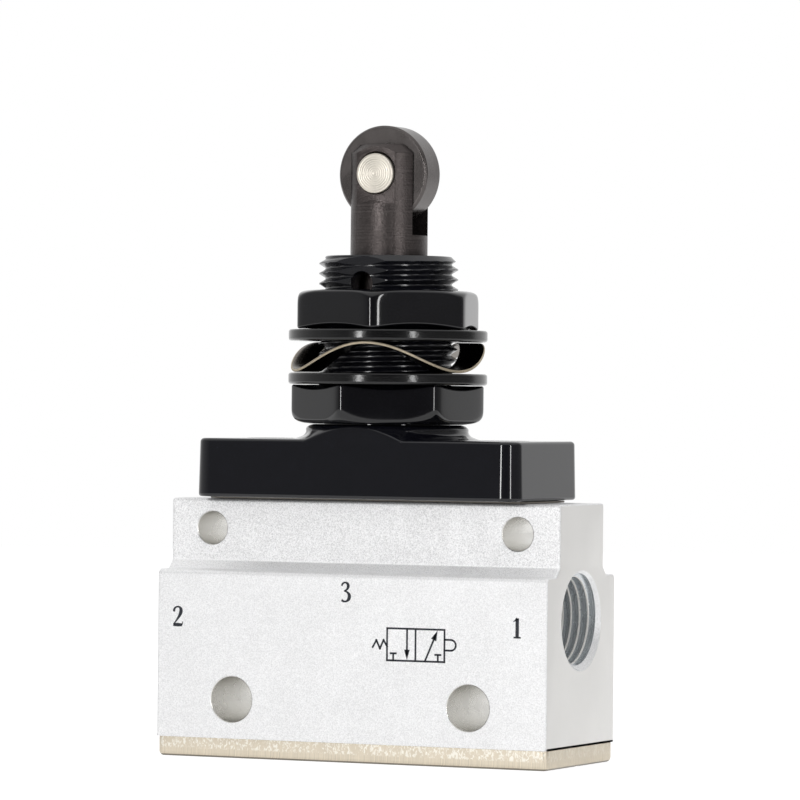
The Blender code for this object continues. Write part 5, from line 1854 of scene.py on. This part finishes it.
@dataclass(frozen=True)
class Spring:
    """A compression spring with a closed turn at each end."""

    node: str
    mean_radius: float
    wire: float
    turns: int
    low: float
    high: float
    joint: str
    body: str
    fixed: float
    keep: float
    gap: float = 0.05
    closing: float = 2.2

    def make(self) -> bpy.types.Object:
        """The wire: a ring of points carried up the coil, square to it, with rounded-off ends.

        The coil's height climbs slowly over the first and last turn and evenly between them.

        Returns:
            The piece.
        """
        start, end = self.low + self.gap + self.wire, self.high - self.gap - self.wire
        closed = self.closing * self.wire
        pitch = (end - start - 2 * closed) / (self.turns - 2)
        along = np.linspace(0.0, self.turns, self.turns * 40 + 1)
        climb = (np.minimum(along, 1.0) * closed
                 + np.clip(along - 1.0, 0.0, self.turns - 2.0) * pitch
                 + np.clip(along - (self.turns - 1.0), 0.0, None) * closed)
        bend = TAU * along
        out = np.column_stack([np.cos(bend), np.sin(bend), np.zeros_like(bend)])
        path = out * self.mean_radius + np.column_stack([0 * bend, 0 * bend, start + climb])
        over = np.cross(unit(np.gradient(path, axis=0)), out)
        ring = np.linspace(0.0, TAU, 14, endpoint=False)
        grid = (path[:, None] + self.wire * (np.cos(ring)[None, :, None] * out[:, None]
                                             + np.sin(ring)[None, :, None] * over[:, None]))
        return Shell().grid(grid).end(grid[0]).end(grid[-1]).make(f"{self.node}_fine")


@dataclass
class ValveStem(SubAssembly):
    """The push tube, gland, seals and poppet, which keep their solids, and the three springs."""

    springs: tuple[Spring, ...] = (
        Spring("buffer_spring", 2.35, 0.3, 5, 35.7, 43.0, "plunger_press", "plunger", 43.0, 0.863),
        Spring("return_spring", 2.35, 0.25, 7, 21.4, 34.2, "push_tube_slide", "valve_body", 21.4,
               0.844),
        Spring("poppet_spring", 2.55, 0.3, 5, 1.55, 10.23, "poppet_slide", "valve_body", 1.55,
               0.827),
    )

    def build(self) -> None:
        """Build the springs and dress the inner pieces."""
        for spring in self.springs:
            piece = self.keep(spring.make(), Finishes.SPRING, spring.body, "spring_steel",
                              spring.node)
            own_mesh(piece)
        self.dress_nodes(Finishes.BRASS, "push_tube", "gland_ring", "poppet")
        self.dress_nodes(Finishes.RUBBER, "stem_seal", "gland_seal", "poppet_seal")


# ---------------------------------------------------------------------------------------------
# The studio
# ---------------------------------------------------------------------------------------------

@dataclass(frozen=True)
class Lamp:
    """A tall strip of light at a bearing from -Y towards +X."""

    bearing: float
    distance: float
    width: float
    height: float
    middle: float
    radiance: float

    def make(self, name: str) -> None:
        """Place the strip so that it faces the valve.

        Args:
            name: The lamp's name.
        """
        data = bpy.data.lights.new(name, "AREA")
        data.shape = "RECTANGLE"
        data.size, data.size_y = self.width, self.height
        data.energy = self.radiance * math.pi * self.width * self.height
        lamp = bpy.data.objects.new(name, data)
        bpy.context.scene.collection.objects.link(lamp)
        turn = math.radians(self.bearing)
        out = Vector((math.sin(turn), -math.cos(turn), 0.0))
        lamp.location = out * self.distance + Vector((0.0, 0.0, self.middle))
        lamp.rotation_euler = out.to_track_quat("Z", "Y").to_euler()


@dataclass
class Studio:
    """Camera, surroundings, lamps and floor."""

    bearing: float = 25.086
    elevation: float = 0.028
    roll: float = -0.553
    distance: float = 515.36
    aside: float = 1.243
    aim_z: float = 35.672
    lens: float = 231.75
    sensor: float = 36.0
    floor_radius: float = 700.0
    floor_z: float = -0.2
    floor_colour: float = 0.80
    floor_seen: float = 0.35
    floor_glow: float = 0.85
    floor_roughness: float = 0.8
    levels: tuple[Pair, ...] = (
        (-180, 1.0), (-150, 0.97), (-120, 0.80), (-95, 0.64), (-53, 0.44), (-25, 0.22), (0, 0.15),
        (25, 0.08), (67, 0.26), (100, 0.24), (138, 0.28), (150, 0.95), (180, 1.0))
    ceiling: Pair = (0.45, 0.85)
    backdrop: Pair = (148.0, 156.0)
    lamps: tuple[Lamp, ...] = (
        Lamp(-8.0, 0.70, 0.062, 0.34, 0.15, 19.4),
        Lamp(54.0, 0.70, 0.062, 0.34, 0.15, 14.2),
    )

    def camera(self) -> None:
        """Stand the camera where the photograph was taken from."""
        turn, tilt, roll = (math.radians(v) for v in (self.bearing, self.elevation, self.roll))
        back = Vector((math.sin(turn) * math.cos(tilt), -math.cos(turn) * math.cos(tilt),
                       math.sin(tilt)))
        right = Vector((math.cos(turn), math.sin(turn), 0.0))
        up = back.cross(right)
        place = (Vector((0.0, 0.0, self.aim_z)) + right * self.aside + back * self.distance) * MM
        across = right * math.cos(roll) - up * math.sin(roll)
        upright = right * math.sin(roll) + up * math.cos(roll)
        data = bpy.data.cameras.new("camera")
        data.lens, data.sensor_width = self.lens, self.sensor
        data.clip_start, data.clip_end = 0.01, 20.0
        camera = bpy.data.objects.new("camera", data)
        bpy.context.scene.collection.objects.link(camera)
        camera.matrix_world = Matrix.Translation(place) @ Matrix(
            (across, upright, back)).transposed().to_4x4()
        bpy.context.scene.camera = camera

    def surroundings(self) -> None:
        """A white studio behind the valve that darkens towards the camera's side.

        The strength follows the bearing through a ramp, and a pale ceiling closes it above. The
        camera itself sees plain white, and so do reflections and glass on the backdrop's side.
        """
        world = bpy.data.worlds.new("studio")
        bpy.context.scene.world = world
        world.use_nodes = True
        sheet = Sheet(world.node_tree)
        white = (1.0, 1.0, 1.0)
        shade = world.node_tree.nodes["Background"]
        way = sheet.add("ShaderNodeTexCoord").outputs["Generated"]
        parts = sheet.add("ShaderNodeSeparateXYZ", {0: way}).outputs
        bearing = sheet.math("ARCTAN2", parts[0], sheet.math("MULTIPLY", parts[1], -1.0))
        share = sheet.math("MULTIPLY_ADD", bearing, 1.0 / TAU, 0.5)
        ramp = sheet.add("ShaderNodeValToRGB", {0: share})
        elements = ramp.color_ramp.elements
        for i, (angle, level) in enumerate(self.levels):
            spot = angle / 360.0 + 0.5
            element = elements[i] if i < 2 else elements.new(spot)
            element.position = spot
            element.color = (level, level, level, 1.0)
        level = sheet.mix(sheet.step(parts[2], *self.ceiling), ramp.outputs[0], white)
        camera, mirrored = self.ways_seen(sheet)
        behind = sheet.step(sheet.math("ABSOLUTE", bearing), *map(math.radians, self.backdrop))
        seen = sheet.math("MAXIMUM", camera, sheet.math("MULTIPLY", mirrored, behind))
        sheet.feed(shade.inputs["Color"], sheet.mix(seen, level, white))
        sheet.feed(shade.inputs["Strength"], 1.0)

    def ways_seen(self, sheet: Sheet) -> tuple[object, object]:
        """Whether the camera looks straight, and whether by reflection or through glass."""
        path = sheet.add("ShaderNodeLightPath").outputs
        return path["Is Camera Ray"], sheet.math("MAXIMUM", path["Is Glossy Ray"],
                                                 path["Is Transmission Ray"])

    def floor(self) -> None:
        """A pale floor that the camera sees as white with a faint shadow."""
        radius = self.floor_radius * np.linspace(0.0, 1.0, 9)
        rings = revolve(np.column_stack([radius, np.full(9, self.floor_z)]))
        floor = Shell().grid(rings).make("floor")
        made = bpy.data.materials.new("pale_floor")
        made.use_nodes = True
        on = Surface(made.node_tree)
        shader = made.node_tree.nodes["Principled BSDF"]
        seen = on.math("MAXIMUM", *self.ways_seen(on))
        pale = on.effect("tint", color=(self.floor_colour,) * 3, scale=8.0, amount=0.01)
        on.feed(shader.inputs["Base Color"], on.mix(seen, pale, (self.floor_seen,) * 3))
        on.feed(shader.inputs["Emission Color"], (1.0, 1.0, 1.0))
        on.feed(shader.inputs["Emission Strength"], on.math("MULTIPLY", seen, self.floor_glow))
        on.feed(shader.inputs["Roughness"], self.floor_roughness)
        on.feed(shader.inputs["Specular IOR Level"], 0.0)
        floor.data.materials.append(made)
        floor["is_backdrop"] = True

    def build(self) -> None:
        """Set up everything that isn't the valve."""
        self.camera()
        self.surroundings()
        for number, lamp in enumerate(self.lamps, start=1):
            lamp.make(f"strip_lamp_{number}")
        self.floor()
        bpy.context.scene.view_settings.view_transform = "Standard"


def write_sizes() -> None:
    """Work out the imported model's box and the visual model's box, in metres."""
    boxes = {"cad": CAD_BOUNDS, "visual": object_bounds()}
    plain = {name: [[float(v) for v in corner] for corner in pair] for name, pair in boxes.items()}


def main() -> None:
    """Build the studio and the valve in order, and report each piece."""
    logging.basicConfig(level=logging.INFO, format="%(message)s")
    Effects.build()
    Studio().build()
    for part in (BodyBlock(), PrintedMarks(), CapAndCollar(), PanelHardware(), Actuator(),
                 ValveStem()):
        LOG.info("building %s", type(part).__name__)
        part.build()
    write_sizes()


if __name__ == "__main__":
    main()
